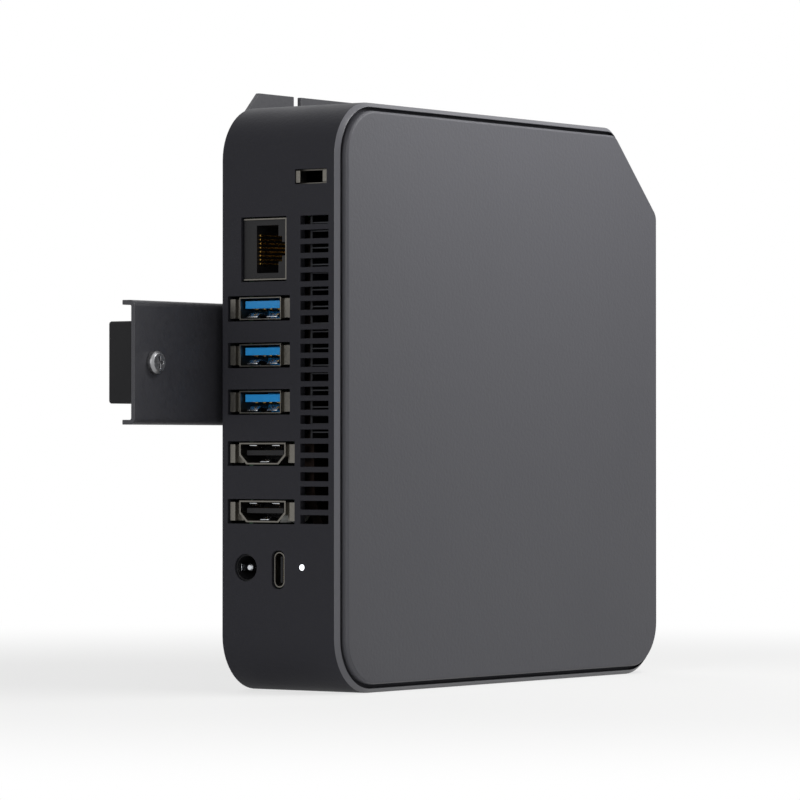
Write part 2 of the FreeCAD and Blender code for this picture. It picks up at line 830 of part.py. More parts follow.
def usb_c_shell():
    x0 = -half + port_recess
    outer = rounded_box((x0, x0 + usb_c_depth), around(usb_c_y, usb_c_long), around(usb_c_z, usb_c_short),
                        "x", usb_c_short / 2 - usb_c_roundness_gap)
    space = rounded_box((x0 - past, x0 + usb_c_depth - sheet), around(usb_c_y, usb_c_long - 2 * sheet),
                        around(usb_c_z, usb_c_short - 2 * sheet), "x",
                        usb_c_short / 2 - sheet - usb_c_roundness_gap)
    return cut(outer, [space])


def usb_c_tongue():
    x0 = -half + port_recess
    back = x0 + usb_c_depth - sheet
    front = back - usb_c_holder_depth
    margin = sheet + tongue_margin
    tongue = block((x0 + usb_c_tongue_recess, front), around(usb_c_y, usb_c_tongue_long),
                   around(usb_c_z, usb_c_tongue_short))
    holder = rounded_box((front, back), around(usb_c_y, usb_c_long - 2 * margin),
                         around(usb_c_z, usb_c_short - 2 * margin), "x", usb_c_holder_corner)
    return fused([tongue, holder])


def usb_c_board():
    """The small board under the USB-C port, held up by the header that joins it to the mainboard."""
    top = usb_c_z - usb_c_short / 2
    x0 = -inner + usb_c_board_from_wall
    x1 = x0 + usb_c_board_depth
    y0 = -foot_at + post_radius + usb_c_board_post_gap
    y1 = usb_c_y + usb_c_board_half_width
    card = block((x0, x1), (y0, y1), (top - usb_c_board_thickness, top))
    header = block((x1 - usb_c_header_length, x1), (y0 + usb_c_header_margin, y1 - usb_c_header_margin),
                   (board_top, top - usb_c_board_thickness))
    lamp = block(around(led_leg_x, led_lamp_side), around(led_y, led_lamp_side), (top, top + led_lamp_height))
    return fused([card, header, lamp])


def led_light_pipe():
    """A clear rod from the port wall, with a leg down to the lamp on the small board."""
    mouth = -half + led_recess
    run = rod(led_radius, (mouth, led_y, led_z), (1, 0, 0), led_leg_x - mouth)
    leg_bottom = usb_c_z - usb_c_short / 2 + led_lamp_height
    leg = block(around(led_leg_x, led_leg_width), around(led_y, led_leg_width),
                (leg_bottom, led_z + led_leg_width / 2))
    return fused([run, leg])


def lock_plate():
    """The steel plate behind the lock slot, with a tab in the wall at each end of the slot."""
    xs = (-inner, -inner + lock_plate_thickness)
    plate_piece = block(xs, around(lock_y, lock_plate_short), around(lock_z, lock_plate_long))
    tabs = []
    for side in (-1, 1):
        near = lock_z + side * lock_long / 2
        far = lock_z + side * (lock_long / 2 + lock_tab - seat_gap)
        tab_xs = (-half + lock_tab_recess, -inner + overlap)
        tabs.append(block(tab_xs, around(lock_y, lock_short), (min(near, far), max(near, far))))
    slot = block((-inner - past, xs[1] + past), around(lock_y, lock_short), around(lock_z, lock_long))
    return cut(fused([plate_piece] + tabs), [slot])


def audio_jack():
    """The headphone socket, with a round collar in the front wall."""
    z = board_top + audio_height / 2
    x1 = half - port_recess - wall
    body = block((x1 - audio_depth, x1), around(audio_y, audio_width), (board_top, board_top + audio_height))
    collar = rod(audio_collar_radius, (x1 - overlap, audio_y, z), (1, 0, 0), wall + overlap)
    bore_start = x1 - audio_depth + audio_back_wall
    bore = rod(audio_bore_radius, (bore_start, audio_y, z), (1, 0, 0), audio_depth + wall)
    return cut(fused([body, collar]), [bore])


def card_slot():
    """The memory-card reader: a flat metal cage on the mainboard."""
    x1 = inner - card_recess
    cage = block((x1 - card_depth, x1), around(card_y, card_width), (board_top, board_top + card_height))
    space = block((x1 - card_depth + card_back_wall, x1 + past), around(card_y, card_slot_width),
                  around(board_top + card_height / 2, card_slot_height))
    return cut(cage, [space])


# --- Cooling ----------------------------------------------------------------------------------
def blower_outline(margin):
    """Round towards the front, straight-sided towards the fins, drawn in by a margin."""
    radius = blower_radius - margin
    round_part = rod(radius, (blower_x, blower_y, 0), (0, 0, 1), 1.0)
    duct = block((fin_x1, blower_x), around(blower_y, 2 * radius), (0, 1.0))
    return fused([round_part, duct])


def blower_level(margin, z0, z1):
    """The blower's outline as a slab between two heights."""
    plan = blower_outline(margin)
    faces = [face for face in plan.Faces if abs(face.CenterOfMass.z) < 1e-6]
    plan = faces[0].extrude(vec(0, 0, z1 - z0))
    plan.Placement = FreeCAD.Placement(vec(0, 0, z0), FreeCAD.Rotation())
    return plan


def blower_legs_at():
    reach = blower_radius + blower_leg_radius
    back_x = blower_x - blower_leg_back
    return [(blower_x + reach, blower_y), (back_x, blower_y + reach), (back_x, blower_y - reach)]


def blower_housing():
    """The tray: a floor with the air inlet, a wall open towards the fins, and three legs."""
    floor_top = blower_bottom + blower_floor
    wall_top = blower_top - blower_cover_thickness
    tray = blower_level(0, blower_bottom, wall_top)
    ears = []
    for x, y in blower_legs_at():
        ears.append(rod(blower_ear_radius, (x, y, blower_bottom), (0, 0, 1), blower_floor))
        ears.append(rod(blower_leg_radius, (x, y, board_top), (0, 0, 1), blower_bottom - board_top))
    space = blower_level(blower_wall, floor_top, wall_top + past)
    mouth_ys = around(blower_y, 2 * (blower_radius - blower_wall))
    mouth = block((fin_x1 - past, fin_x1 + 2 * blower_wall), mouth_ys, (floor_top, wall_top + past))
    below = (blower_x, blower_y, blower_bottom - past)
    inlet = rod(blower_inlet_radius, below, (0, 0, 1), blower_floor + 2 * past)
    return cut(fused([tray] + ears), [space, mouth, inlet])


def rotor_levels():
    """The rotor's lowest and highest points between the floor and the cover."""
    low = blower_bottom + blower_floor + rotor_running_gap
    high = blower_top - blower_cover_thickness - rotor_running_gap
    return low, high


def blower_cover():
    """The top plate, which carries the rotor's fixed shaft."""
    low, high = rotor_levels()
    plate_z = blower_top - blower_cover_thickness
    shaft_bottom = low + shaft_end_gap
    shaft = rod(shaft_radius, (blower_x, blower_y, shaft_bottom), (0, 0, 1), plate_z - shaft_bottom)
    return fused([blower_level(0, plate_z, blower_top), shaft])


def rotor_blade(low, high):
    """One swept blade, from the hub to the rim."""
    root = rotor_hub_radius - rotor_root
    sweep = math.radians(rotor_blade_sweep)
    sides = []
    for shift in (-rotor_blade_thickness / 2, rotor_blade_thickness / 2):
        points = []
        for share in (0.0, 0.5, 1.0):
            radius = root + (rotor_radius - root) * share
            angle = sweep * share * share
            points.append(vec(radius * math.cos(angle) - shift * math.sin(angle),
                              radius * math.sin(angle) + shift * math.cos(angle), low))
        sides.append(points)
    first, second = sides
    edges = [Part.Arc(*first).toShape(), Part.LineSegment(first[2], second[2]).toShape(),
             Part.Arc(*second).toShape(), Part.LineSegment(second[0], first[0]).toShape()]
    return Part.Face(Part.Wire(Part.__sortEdges__(edges))).extrude(vec(0, 0, high - low))


def blower_rotor():
    """The hub, its disc and a ring of swept blades."""
    low, high = rotor_levels()
    pieces = [rod(rotor_hub_radius, (0, 0, low), (0, 0, 1), high - low),
              rod(rotor_radius - rotor_disc_inset, (0, 0, high - rotor_disc_thickness), (0, 0, 1),
                  rotor_disc_thickness)]
    for i in range(rotor_blade_count):
        blade = rotor_blade(low, high)
        blade.rotate(vec(0, 0, 0), vec(0, 0, 1), 360.0 * i / rotor_blade_count)
        pieces.append(blade)
    rotor = fused(pieces)
    bore = rod(shaft_radius + shaft_gap, (0, 0, low + rotor_bore_end), (0, 0, 1), high - low)
    rotor = cut(rotor, [bore])
    rotor.Placement = FreeCAD.Placement(vec(blower_x, blower_y, 0), FreeCAD.Rotation())
    return rotor


def fin_stack():
    """Thin upright fins on a base strip, between the blower and the vents."""
    span = around(blower_y, 2 * fin_half_span)
    pieces = [block((fin_x0, fin_x1), span, (fin_bottom, fin_bottom + fin_base))]
    pitch = (2 * fin_half_span - fin_thickness) / (fin_count - 1)
    for i in range(fin_count):
        ys = (span[0] + i * pitch, span[0] + i * pitch + fin_thickness)
        pieces.append(block((fin_x0, fin_x1), ys, (fin_bottom, blower_top)))
    return fused(pieces)


def heat_pipe():
    """A flattened pipe: along under the fins, round a bend, down a slope, then into the cold plate."""
    lane_x = (fin_x0 + fin_x1) / 2
    lane_end = blower_y + fin_half_span - fin_end_margin
    low, high = fin_bottom - pipe_thickness, fin_bottom
    bend_x = lane_x + pipe_bend_radius
    bend_y = pipe_lane_y + pipe_bend_radius
    lane = block(around(lane_x, pipe_width), (bend_y, lane_end), (low, high))
    ring = rod(pipe_bend_radius + pipe_width / 2, (bend_x, bend_y, low), (0, 0, 1), pipe_thickness)
    through = pipe_thickness + 2 * past
    hole = rod(pipe_bend_radius - pipe_width / 2, (bend_x, bend_y, low - past), (0, 0, 1), through)
    corner = block((lane_x - pipe_width, bend_x), (pipe_lane_y - pipe_width, bend_y), (low, high))
    bend = cut(ring, [hole]).common(corner)
    seat = cold_plate_bottom + cold_plate_thickness - pipe_thickness
    ease = pipe_slope_radius
    slope = prism([(bend_x, low, 0), (pipe_slope_start_x, low, ease),
                   (pipe_slope_end_x, seat, ease + pipe_thickness),
                   (pipe_end_x, seat, 0), (pipe_end_x, seat + pipe_thickness, 0),
                   (pipe_slope_end_x + pipe_slope_shift, seat + pipe_thickness, ease),
                   (pipe_slope_start_x + pipe_slope_shift, high, ease + pipe_thickness), (bend_x, high, 0)],
                  "y", pipe_lane_y - pipe_width / 2, pipe_lane_y + pipe_width / 2)
    return fused([lane, bend, slope])


def processor():
    package = block(around(processor_x, processor_length), around(pipe_lane_y, processor_width),
                    (board_top, board_top + processor_thickness))
    die = block(around(processor_x, die_length), around(pipe_lane_y, die_width),
                (board_top + processor_thickness, cold_plate_bottom))
    return fused([package, die])


def cold_plate():
    """The copper block on the processor, grooved for the pipe."""
    body = block(around(processor_x, cold_plate_length), around(pipe_lane_y, cold_plate_width),
                 (cold_plate_bottom, cold_plate_bottom + cold_plate_thickness))
    groove_bottom = cold_plate_bottom + cold_plate_thickness - pipe_thickness - seat_gap
    groove = block(around(processor_x, 2 * cold_plate_length), around(pipe_lane_y, pipe_width + 2 * seat_gap),
                   (groove_bottom, groove_bottom + 2 * cold_plate_thickness))
    return cut(body, [groove])


# --- Cards and cell under the mainboard ---------------------------------------------------------
def memory_module(y):
    """A memory card with chips on the face towards the base."""
    z1 = board_bottom - memory_socket_height / 2 + memory_thickness / 2
    z0 = z1 - memory_thickness
    pieces = [block(around(memory_x, memory_length), around(y, memory_width), (z0, z1))]
    pitch = memory_length / memory_chip_count
    for i in range(memory_chip_count):
        x = memory_x - memory_length / 2 + (i + 0.5) * pitch
        pieces.append(block(around(x, memory_chip_length), around(y + memory_chip_offset, memory_chip_width),
                            (z0 - memory_chip, z0)))
    return fused(pieces)


def memory_socket(y):
    """The socket bar and its two side arms, open round the card."""
    zs = (board_bottom - memory_socket_height, board_bottom)
    bar_y = y - memory_width / 2 - memory_socket_behind
    bar_ys = (bar_y, bar_y + memory_socket_width)
    bar = block(around(memory_x, memory_socket_length), bar_ys, zs)
    pieces = [bar]
    for side in (-1, 1):
        x_in = memory_x + side * (memory_length / 2 + touch_gap)
        x_out = x_in + side * memory_arm
        pieces.append(block((min(x_in, x_out), max(x_in, x_out)), (bar_ys[0], y + memory_width / 2), zs))
    middle = board_bottom - memory_socket_height / 2
    throat = block(around(memory_x, memory_length + 2 * touch_gap),
                   (y - memory_width / 2 - seat_gap, y + memory_width),
                   around(middle, memory_thickness + 2 * seat_gap))
    return cut(fused(pieces), [throat])


def m2_card(x, y, length, chips):
    """A plug-in card hung under the mainboard, with chips on its lower face."""
    z1 = board_bottom - card_drop
    z0 = z1 - card_board_thickness
    pieces = [block((x, x + length), around(y, ssd_width), (z0, z1))]
    for chip_x, chip_length in chips:
        pieces.append(block((x + chip_x, x + chip_x + chip_length), around(y, card_chip_width),
                            (z0 - card_chip_height, z0)))
    return fused(pieces)


def card_screw_at(length):
    return length - ssd_screw_radius - ssd_screw_edge


def ssd_module():
    card = m2_card(ssd_x, ssd_y, ssd_length, ssd_chips)
    hole_x = ssd_x + card_screw_at(ssd_length)
    return cut(card, [rod(ssd_screw_radius + seat_gap, (hole_x, ssd_y, 0), (0, 0, 1), board_bottom)])


def wifi_card():
    card = m2_card(wifi_x, wifi_y, wifi_length, wifi_chips)
    hole_x = wifi_x + card_screw_at(wifi_length)
    return cut(card, [rod(ssd_screw_radius + seat_gap, (hole_x, wifi_y, 0), (0, 0, 1), board_bottom)])


def card_sockets():
    """The two edge sockets that the plug-in cards push into."""
    sockets = []
    for x, y in ((ssd_x, ssd_y), (wifi_x, wifi_y)):
        zs = (board_bottom - card_socket_height, board_bottom)
        bar_x = x - card_socket_behind
        bar = block((bar_x, bar_x + card_socket_width), around(y, card_key_width), zs)
        z1 = board_bottom - card_drop
        throat = block((x - touch_gap, x + card_socket_width), around(y, ssd_width + past),
                       (z1 - card_board_thickness - seat_gap, z1 + seat_gap))
        sockets.append(cut(bar, [throat]))
    return group(sockets)


def card_screws():
    """The two short screws, each with the six-sided standoff that holds its card's free end."""
    screws = []
    for x, y, length in ((ssd_x, ssd_y, ssd_length), (wifi_x, wifi_y, wifi_length)):
        at = x + card_screw_at(length)
        z = board_bottom - card_drop - card_board_thickness
        head = rod(ssd_screw_head_radius, (at, y, z - ssd_screw_head_height), (0, 0, 1), ssd_screw_head_height)
        shank = rod(ssd_screw_radius, (at, y, z), (0, 0, 1), card_board_thickness)
        spacer = hexagon(card_standoff_radius, at, y, z + card_board_thickness, card_drop)
        screws.append(fused([head, shank, spacer]))
    return group(screws)


def coin_cell():
    z1 = board_bottom - cell_holder_floor
    return rod(cell_radius, (cell_x, cell_y, z1 - cell_thickness), (0, 0, 1), cell_thickness)


def coin_cell_holder():
    """A shallow cup, open towards the base and at one side."""
    outer_radius = cell_radius + cell_holder_wall + touch_gap
    cup_top = board_bottom - cell_holder_floor
    outer = rod(outer_radius, (cell_x, cell_y, board_bottom - cell_holder_height), (0, 0, 1), cell_holder_height)
    space = rod(cell_radius + touch_gap, (cell_x, cell_y, 0), (0, 0, 1), cup_top)
    side = block((cell_x, cell_x + 2 * cell_radius), around(cell_y, cell_radius), (0, cup_top))
    return cut(outer, [space, side])


def wifi_antennas():
    """Two flat antennas stuck under the deck, near the upper and lower walls."""
    zs = (deck_bottom - antenna_thickness, deck_bottom)
    return group([block(around(0, antenna_length), around(side * (inner - antenna_from_wall), antenna_width), zs)
                  for side in (-1, 1)])


# --- Bracket ----------------------------------------------------------------------------------
def hat_section():
    """The folded sheet's section, as (y, z) corners: flange, web, raised deck, web, flange."""
    back = -bracket_depth
    inside = bend_radius
    outside = bend_radius + plate
    return [
        (flange_low_y, back, 0), (deck_low_y + plate, back, outside),
        (deck_low_y + plate, -plate, inside), (deck_high_y - plate, -plate, inside),
        (deck_high_y - plate, back, outside), (flange_top_y, back, 0),
        (flange_top_y, back + plate, 0), (deck_high_y, back + plate, inside),
        (deck_high_y, 0, outside), (deck_low_y, 0, outside),
        (deck_low_y, back + plate, inside), (flange_low_y, back + plate, 0),
    ]


def flange_trims():
    """What is cut from the flanges: four bevelled corners and two small notches."""
    tools = []
    zs = (-bracket_depth - past, -bracket_depth + plate + past)
    for side in (-1, 1):
        x = side * flange_half_width
        for y, step in ((flange_top_y, -1), (flange_low_y, 1)):
            corners = [(x + side, y - step, 0), (x + side, y + step * (flange_corner + 1), 0),
                       (x - side * (flange_corner + 1), y - step, 0)]
            tools.append(prism(corners, "z", *zs))
        tools.append(block(around(side * notch_x, notch_width), (flange_top_y - notch_depth, flange_top_y + past), zs))
    return tools


def keyhole(x):
    """A round hole for the screw's head, and the slot that runs down from it."""
    round_y = keyhole_y + lift_travel
    slot_radius = shoulder_neck_radius + keyhole_gap
    low, through = -plate - past, plate + 2 * past
    return [rod(keyhole_head_radius, (x, round_y, low), (0, 0, 1), through),
            rod(slot_radius, (x, keyhole_y, low), (0, 0, 1), through),
            block(around(x, 2 * slot_radius), (keyhole_y, round_y), (low, past))]


def arm():
    """The channel that reaches past the port wall, its two long edges folded back."""
    low = arm_y - arm_width / 2
    high = arm_y + arm_width / 2
    inside = arm_bend_radius
    outside = inside + plate
    corners = [(low, -arm_edge, 0), (low + plate, -arm_edge, 0), (low + plate, -plate, inside),
               (high - plate, -plate, inside), (high - plate, -arm_edge, 0), (high, -arm_edge, 0),
               (high, 0, outside), (low, 0, outside)]
    return prism(corners, "x", -half - arm_reach, -deck_half_width + overlap)


def spacer_screw_x():
    return -half - arm_reach + spacer_screw_inset


def bracket_plate():
    """One folded sheet: flanges on the monitor, a raised deck with keyholes, and the arm."""
    hat = prism(hat_section(), "x", -flange_half_width, flange_half_width)
    tools = flange_trims()
    for side in (-1, 1):
        xs = sorted((side * deck_half_width, side * (flange_half_width + past)))
        over_flanges = (deck_low_y - flange_trim, deck_high_y + flange_trim)
        tools.append(block(xs, over_flanges, (-bracket_depth + plate + trim_step, past)))
        over_deck = (deck_low_y + plate - trim_step, deck_high_y - plate + trim_step)
        tools.append(block(xs, over_deck, (-bracket_depth - past, past)))
        for y in (case_below_holes + hole_spacing / 2, case_below_holes - hole_spacing / 2):
            start = (side * hole_spacing / 2, y, -bracket_depth - past)
            tools.append(rod(hole_radius, start, (0, 0, 1), plate + 2 * past))
    sheet_metal = fused([cut(hat, tools), arm()])
    holes = keyhole(-keyhole_x) + keyhole(keyhole_x)
    start = (spacer_screw_x(), arm_y, -plate - past)
    holes.append(rod(spacer_screw_radius + seat_gap, start, (0, 0, 1), plate + 2 * past))
    return cut(sheet_metal, holes)


def shoulder_screws():
    """The two screws in the base: thread, collar on the base, neck in the slot, head behind it."""
    screws = []
    for side in (-1, 1):
        x = side * keyhole_x
        neck_bottom = -plate - shoulder_head_gap
        head = rod(shoulder_head_radius, (x, keyhole_y, neck_bottom - shoulder_head_height), (0, 0, 1),
                   shoulder_head_height)
        neck = rod(shoulder_neck_radius, (x, keyhole_y, neck_bottom), (0, 0, 1), shoulder_collar_gap - neck_bottom)
        collar = rod(shoulder_collar_radius, (x, keyhole_y, shoulder_collar_gap), (0, 0, 1),
                     foot_height - shoulder_collar_gap)
        thread = rod(shoulder_thread_radius, (x, keyhole_y, foot_height), (0, 0, 1),
                     base_thickness + shoulder_boss_height)
        screws.append(fused([head, neck, collar, thread]))
    return group(screws)


def spacer_block():
    """The block that fills the space between the arm's end and the monitor."""
    end = -half - arm_reach
    body = rounded_box((end, end + spacer_length), around(arm_y, spacer_width), (-bracket_depth, -plate), "z",
                       spacer_corner)
    start = (spacer_screw_x(), arm_y, -plate - spacer_screw_length)
    hole = rod(spacer_screw_radius + seat_gap, start, (0, 0, 1), plate + spacer_screw_length)
    return cut(body, [hole])


def spacer_screw():
    """A pan-head screw through the arm into the block, with a cross recess."""
    x = spacer_screw_x()
    head = rod(spacer_screw_head_radius, (x, arm_y, 0), (0, 0, 1), spacer_screw_head_height)
    head = head.makeChamfer(spacer_screw_edge, edges_at_height(head, spacer_screw_head_height))
    shank_length = spacer_screw_length - spacer_screw_tip_gap
    shank = rod(spacer_screw_radius, (x, arm_y, -shank_length), (0, 0, 1), shank_length)
    top = (spacer_screw_head_height - spacer_screw_recess, spacer_screw_head_height + past)
    recess = [block(around(x, long), around(arm_y, wide), top)
              for long, wide in ((spacer_screw_cross, spacer_screw_cross_width),
                                 (spacer_screw_cross_width, spacer_screw_cross))]
    return cut(fused([head, shank]), recess)


# --- The whole list of pieces -------------------------------------------------------------------
def all_pieces():
    pieces = {
        "lid_plate": lid_plate(), "housing_shell": housing_shell(), "base_cover": base_cover(),
        "deck_plate": deck_plate(), "deck_posts": deck_posts(),
        "rubber_feet": rubber_feet(), "base_screws": base_screws(),
        "power_button": power_button(), "switch_plunger": switch_plunger(),
        "power_switch_board": power_switch_board(),
        "mainboard": mainboard(), "board_screws": board_screws(),
        "lan_jack_shell": lan_jack_shell(), "lan_jack_insert": lan_jack_insert(),
        "dc_jack_body": dc_jack_body(), "dc_jack_pin": dc_jack_pin(),
        "usb_c_shell": usb_c_shell(), "usb_c_tongue": usb_c_tongue(), "usb_c_board": usb_c_board(),
        "led_light_pipe": led_light_pipe(), "lock_plate": lock_plate(),
        "audio_jack": audio_jack(), "card_slot": card_slot(),
        "blower_housing": blower_housing(), "blower_cover": blower_cover(), "blower_rotor": blower_rotor(),
        "fin_stack": fin_stack(), "heat_pipe": heat_pipe(), "cold_plate": cold_plate(),
        "processor": processor(),
        "ssd_module": ssd_module(), "wifi_card": wifi_card(), "card_sockets": card_sockets(),
        "card_screws": card_screws(), "coin_cell": coin_cell(), "coin_cell_holder": coin_cell_holder(),
        "wifi_antennas": wifi_antennas(),
        "bracket_plate": bracket_plate(), "shoulder_screws": shoulder_screws(),
        "spacer_block": spacer_block(), "spacer_screw": spacer_screw(),
    }
    for i, y in enumerate(usb_rear_ys, 1):
        pieces[f"usb_rear_shell_{i}"] = rear_port(usb_shell(ear_gap, ear_width), y, usb_z)
        pieces[f"usb_rear_tongue_{i}"] = rear_port(usb_tongue(), y, usb_z)
    for i, y in enumerate(hdmi_ys, 1):
        pieces[f"hdmi_shell_{i}"] = rear_port(hdmi_shell(), y, hdmi_z)
        pieces[f"hdmi_tongue_{i}"] = rear_port(hdmi_tongue(), y, hdmi_z)
    for i, y in enumerate(usb_front_ys, 1):
        pieces[f"usb_front_shell_{i}"] = front_port(usb_shell(0, usb_lip), y, board_top + usb_short / 2)
        pieces[f"usb_front_tongue_{i}"] = front_port(usb_tongue(), y, board_top + usb_short / 2)
    for i, y in enumerate(memory_ys, 1):
        pieces[f"memory_module_{i}"] = memory_module(y)
        pieces[f"memory_socket_{i}"] = memory_socket(y)
    return pieces


def stand_upright(shape):
    """From the case's frame to the mounted one: lid towards -Y, bracket's back on Y = 0."""
    mounted = FreeCAD.Placement(vec(0, -bracket_depth, -case_below_holes), FreeCAD.Rotation(vec(1, 0, 0), 90))
    return shape.transformed(mounted.toMatrix(), True)


os.makedirs("parts", exist_ok=True)
for node, piece in all_pieces().items():
    stand_upright(piece).exportStep(f"parts/{node}.step")
    print(f"{node}: {len(piece.Solids)} solid(s), {piece.Volume:.1f} mm3")
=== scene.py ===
# %% [markdown]
# # A small desktop computer on its monitor bracket
# The real object is a square plastic box, 148.5 mm on a side, that hangs on the back of a
# monitor by a folded steel bracket. Its construction is already solid: every shell, socket and
# screw comes in from the frame at its real size and place. What is left for these cells is what
# the eye reads as real: edges rounded as a mould or a press rounds them, the grain of each
# surface, and the small metal parts inside the sockets.

# %% Load the construction
import json
import math

import bpy
from mathutils import Matrix, Vector


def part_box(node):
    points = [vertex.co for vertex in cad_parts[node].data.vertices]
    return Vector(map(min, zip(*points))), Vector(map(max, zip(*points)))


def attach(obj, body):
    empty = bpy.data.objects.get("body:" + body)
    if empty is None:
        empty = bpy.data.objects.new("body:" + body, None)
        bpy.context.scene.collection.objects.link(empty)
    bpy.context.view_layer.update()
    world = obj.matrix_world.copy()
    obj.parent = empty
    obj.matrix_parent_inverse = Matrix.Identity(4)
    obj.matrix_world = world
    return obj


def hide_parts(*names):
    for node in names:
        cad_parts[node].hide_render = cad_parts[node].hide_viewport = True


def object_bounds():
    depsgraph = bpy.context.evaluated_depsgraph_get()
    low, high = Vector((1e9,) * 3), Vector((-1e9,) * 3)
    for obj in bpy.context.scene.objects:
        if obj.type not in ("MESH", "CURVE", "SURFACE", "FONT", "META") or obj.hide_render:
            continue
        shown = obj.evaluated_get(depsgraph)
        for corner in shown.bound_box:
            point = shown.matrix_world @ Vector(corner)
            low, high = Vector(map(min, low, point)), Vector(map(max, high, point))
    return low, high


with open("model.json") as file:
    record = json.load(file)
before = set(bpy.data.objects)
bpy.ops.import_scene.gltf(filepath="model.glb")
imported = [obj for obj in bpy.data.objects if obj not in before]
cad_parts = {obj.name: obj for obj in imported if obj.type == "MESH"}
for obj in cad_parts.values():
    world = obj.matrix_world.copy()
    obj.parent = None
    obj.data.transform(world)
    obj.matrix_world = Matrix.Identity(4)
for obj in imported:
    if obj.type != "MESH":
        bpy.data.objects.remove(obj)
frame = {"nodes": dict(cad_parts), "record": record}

for name in ("Cube", "Light", "Camera"):
    if name in bpy.data.objects:
        bpy.data.objects.remove(bpy.data.objects[name])
cad_low, cad_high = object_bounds()
MM = 0.001
nodes = frame["nodes"]
print("nodes:", len(nodes), " size in mm:", [round(side / MM, 1) for side in cad_high - cad_low])

# %% [markdown]
# ## Where things are
# The object hangs with its lid towards -Y, its ports towards -X and +Z up. A piece that belongs
# to a part of the construction takes its place from that part's own box, so nothing is measured
# twice. These two tables give a node's body and its slot, and the helper gives its middle.

# %% Helpers for places
body_of_node = {}
for body, members in frame["record"]["behaviour"]["bodies"].items():
    for member in members:
        body_of_node[member] = body
slot_of_node = {row["node"]: row["material_slot"] for row in frame["record"]["subparts"]}


def middle(node):
    low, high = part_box(node)
    return (low + high) / 2


print("the lid's middle in mm:", [round(value / MM, 1) for value in middle("lid_plate")])

# %% [markdown]
# ## The camera
# The object is seen from its port side, about level with it and 1.2 m away. A longer lens from
# the same spot gives the same perspective, only larger, so the eye point is fixed first and the
# focal length is then chosen until the object fills the square picture.

# %% Camera
EYE = Vector((-0.988, -0.718, -0.034))
AIM = Vector((-0.024, -0.030, -0.021))
camera_data = bpy.data.cameras.new("camera")
camera_data.lens = 205.0
camera = bpy.data.objects.new("camera", camera_data)
bpy.context.scene.collection.objects.link(camera)
camera.location = EYE
camera.rotation_mode = "QUATERNION"
camera.rotation_quaternion = (AIM - EYE).to_track_quat("-Z", "Y")
bpy.context.scene.camera = camera
print("distance to the object in m:", round((AIM - EYE).length, 3))

# %% [markdown]
# ## Light
# Three soft boxes. A low strip hangs close in front of the lid's upper part, near enough that
# the lid falls from light at its top to darker at its foot, and the case shades the arm beside
# it. The second, far off and weak, opens the wall with the ports, and the third lights the back.
# None of them shows in any view.

# %% Lamps
def soft_box(name, place, target, width, height, watts):
    """A rectangular lamp that faces a point."""
    data = bpy.data.lights.new(name, "AREA")
    data.shape = "RECTANGLE"
    data.size = width
    data.size_y = height
    data.energy = watts
    lamp = bpy.data.objects.new(name, data)
    bpy.context.scene.collection.objects.link(lamp)
    lamp.location = place
    lamp.rotation_mode = "QUATERNION"
    lamp.rotation_quaternion = (Vector(target) - Vector(place)).to_track_quat("-Z", "Y")
    lamp.visible_camera = False
    print(name, "in watts:", watts)


soft_box("lamp_over_lid", (0.03, -0.18, 0.16), (0.0, -0.05, 0.045), 0.22, 0.10, 0.55)
soft_box("lamp_port_side", (-1.5, -0.22, 0.30), (-0.05, 0, -0.02), 0.7, 0.7, 7.5)
soft_box("lamp_behind", (0.7, 1.2, 0.9), (0, 0, 0), 1.0, 1.0, 6.0)

# %% [markdown]
# ## Colours and nodes
# Colours are written as a screen shows them and turned to linear light by one function. One other
# function adds a shader node with its settings and its inputs, where an input is either a plain
# value or the output of an earlier node. Every pattern reads the place on the object in metres,
# so a grain of 0.8 mm needs a noise scale of 1 / 0.0008.

# %% Colour and node helpers
def to_linear(code):
    """An sRGB hex colour as linear red, green, blue and alpha."""
    channels = [int(code[i:i + 2], 16) / 255 for i in (1, 3, 5)]
    linear = [c / 12.92 if c <= 0.04045 else ((c + 0.055) / 1.055) ** 2.4 for c in channels]
    return (*linear, 1.0)


def add_node(tree, kind, inputs=None, out=0, **settings):
    """Adds a shader node and gives the output socket named or numbered by out."""
    node = tree.nodes.new("ShaderNode" + kind)
    for name, value in settings.items():
        setattr(node, name, value)
    for name, value in (inputs or {}).items():
        if isinstance(value, bpy.types.NodeSocket):
            tree.links.new(value, node.inputs[name])
        else:
            node.inputs[name].default_value = value
    return node.outputs[out] if len(node.outputs) else None


def new_material(name):
    """An empty material, its tree, and the place on the object in metres."""
    material = bpy.data.materials.new(name)
    material.use_nodes = True
    tree = material.node_tree
    tree.nodes.clear()
    return material, tree, add_node(tree, "TexCoord", out="Object")


def plain_view(tree):
    """1 where the camera, a mirror or glass looks at a surface, and 0 where light falls on it."""
    seen = add_node(tree, "LightPath", out="Is Camera Ray")
    mirrored = add_node(tree, "LightPath", out="Is Glossy Ray")
    through = add_node(tree, "LightPath", out="Is Transmission Ray")
    any_two = add_node(tree, "Math", {0: seen, 1: mirrored}, operation="MAXIMUM")
    return add_node(tree, "Math", {0: any_two, 1: through}, operation="MAXIMUM")


# The numbers of a colour mix node's sockets: its factor, its two colours and its result.
FACTOR, COLOUR_A, COLOUR_B, COLOUR_OUT = 0, 6, 7, 2
print("mid grey #808080 in linear light:", round(to_linear("#808080")[0], 3))

# %% [markdown]
# ## Studio paper and background
# The box stands on its lower wall on pale paper, as it would on a bench. The paper keeps the
# object's shadow, and further out it fades into the background's white. The world lights the
# object as an even grey, and shows itself as plain white to the camera, to mirrors and to glass.

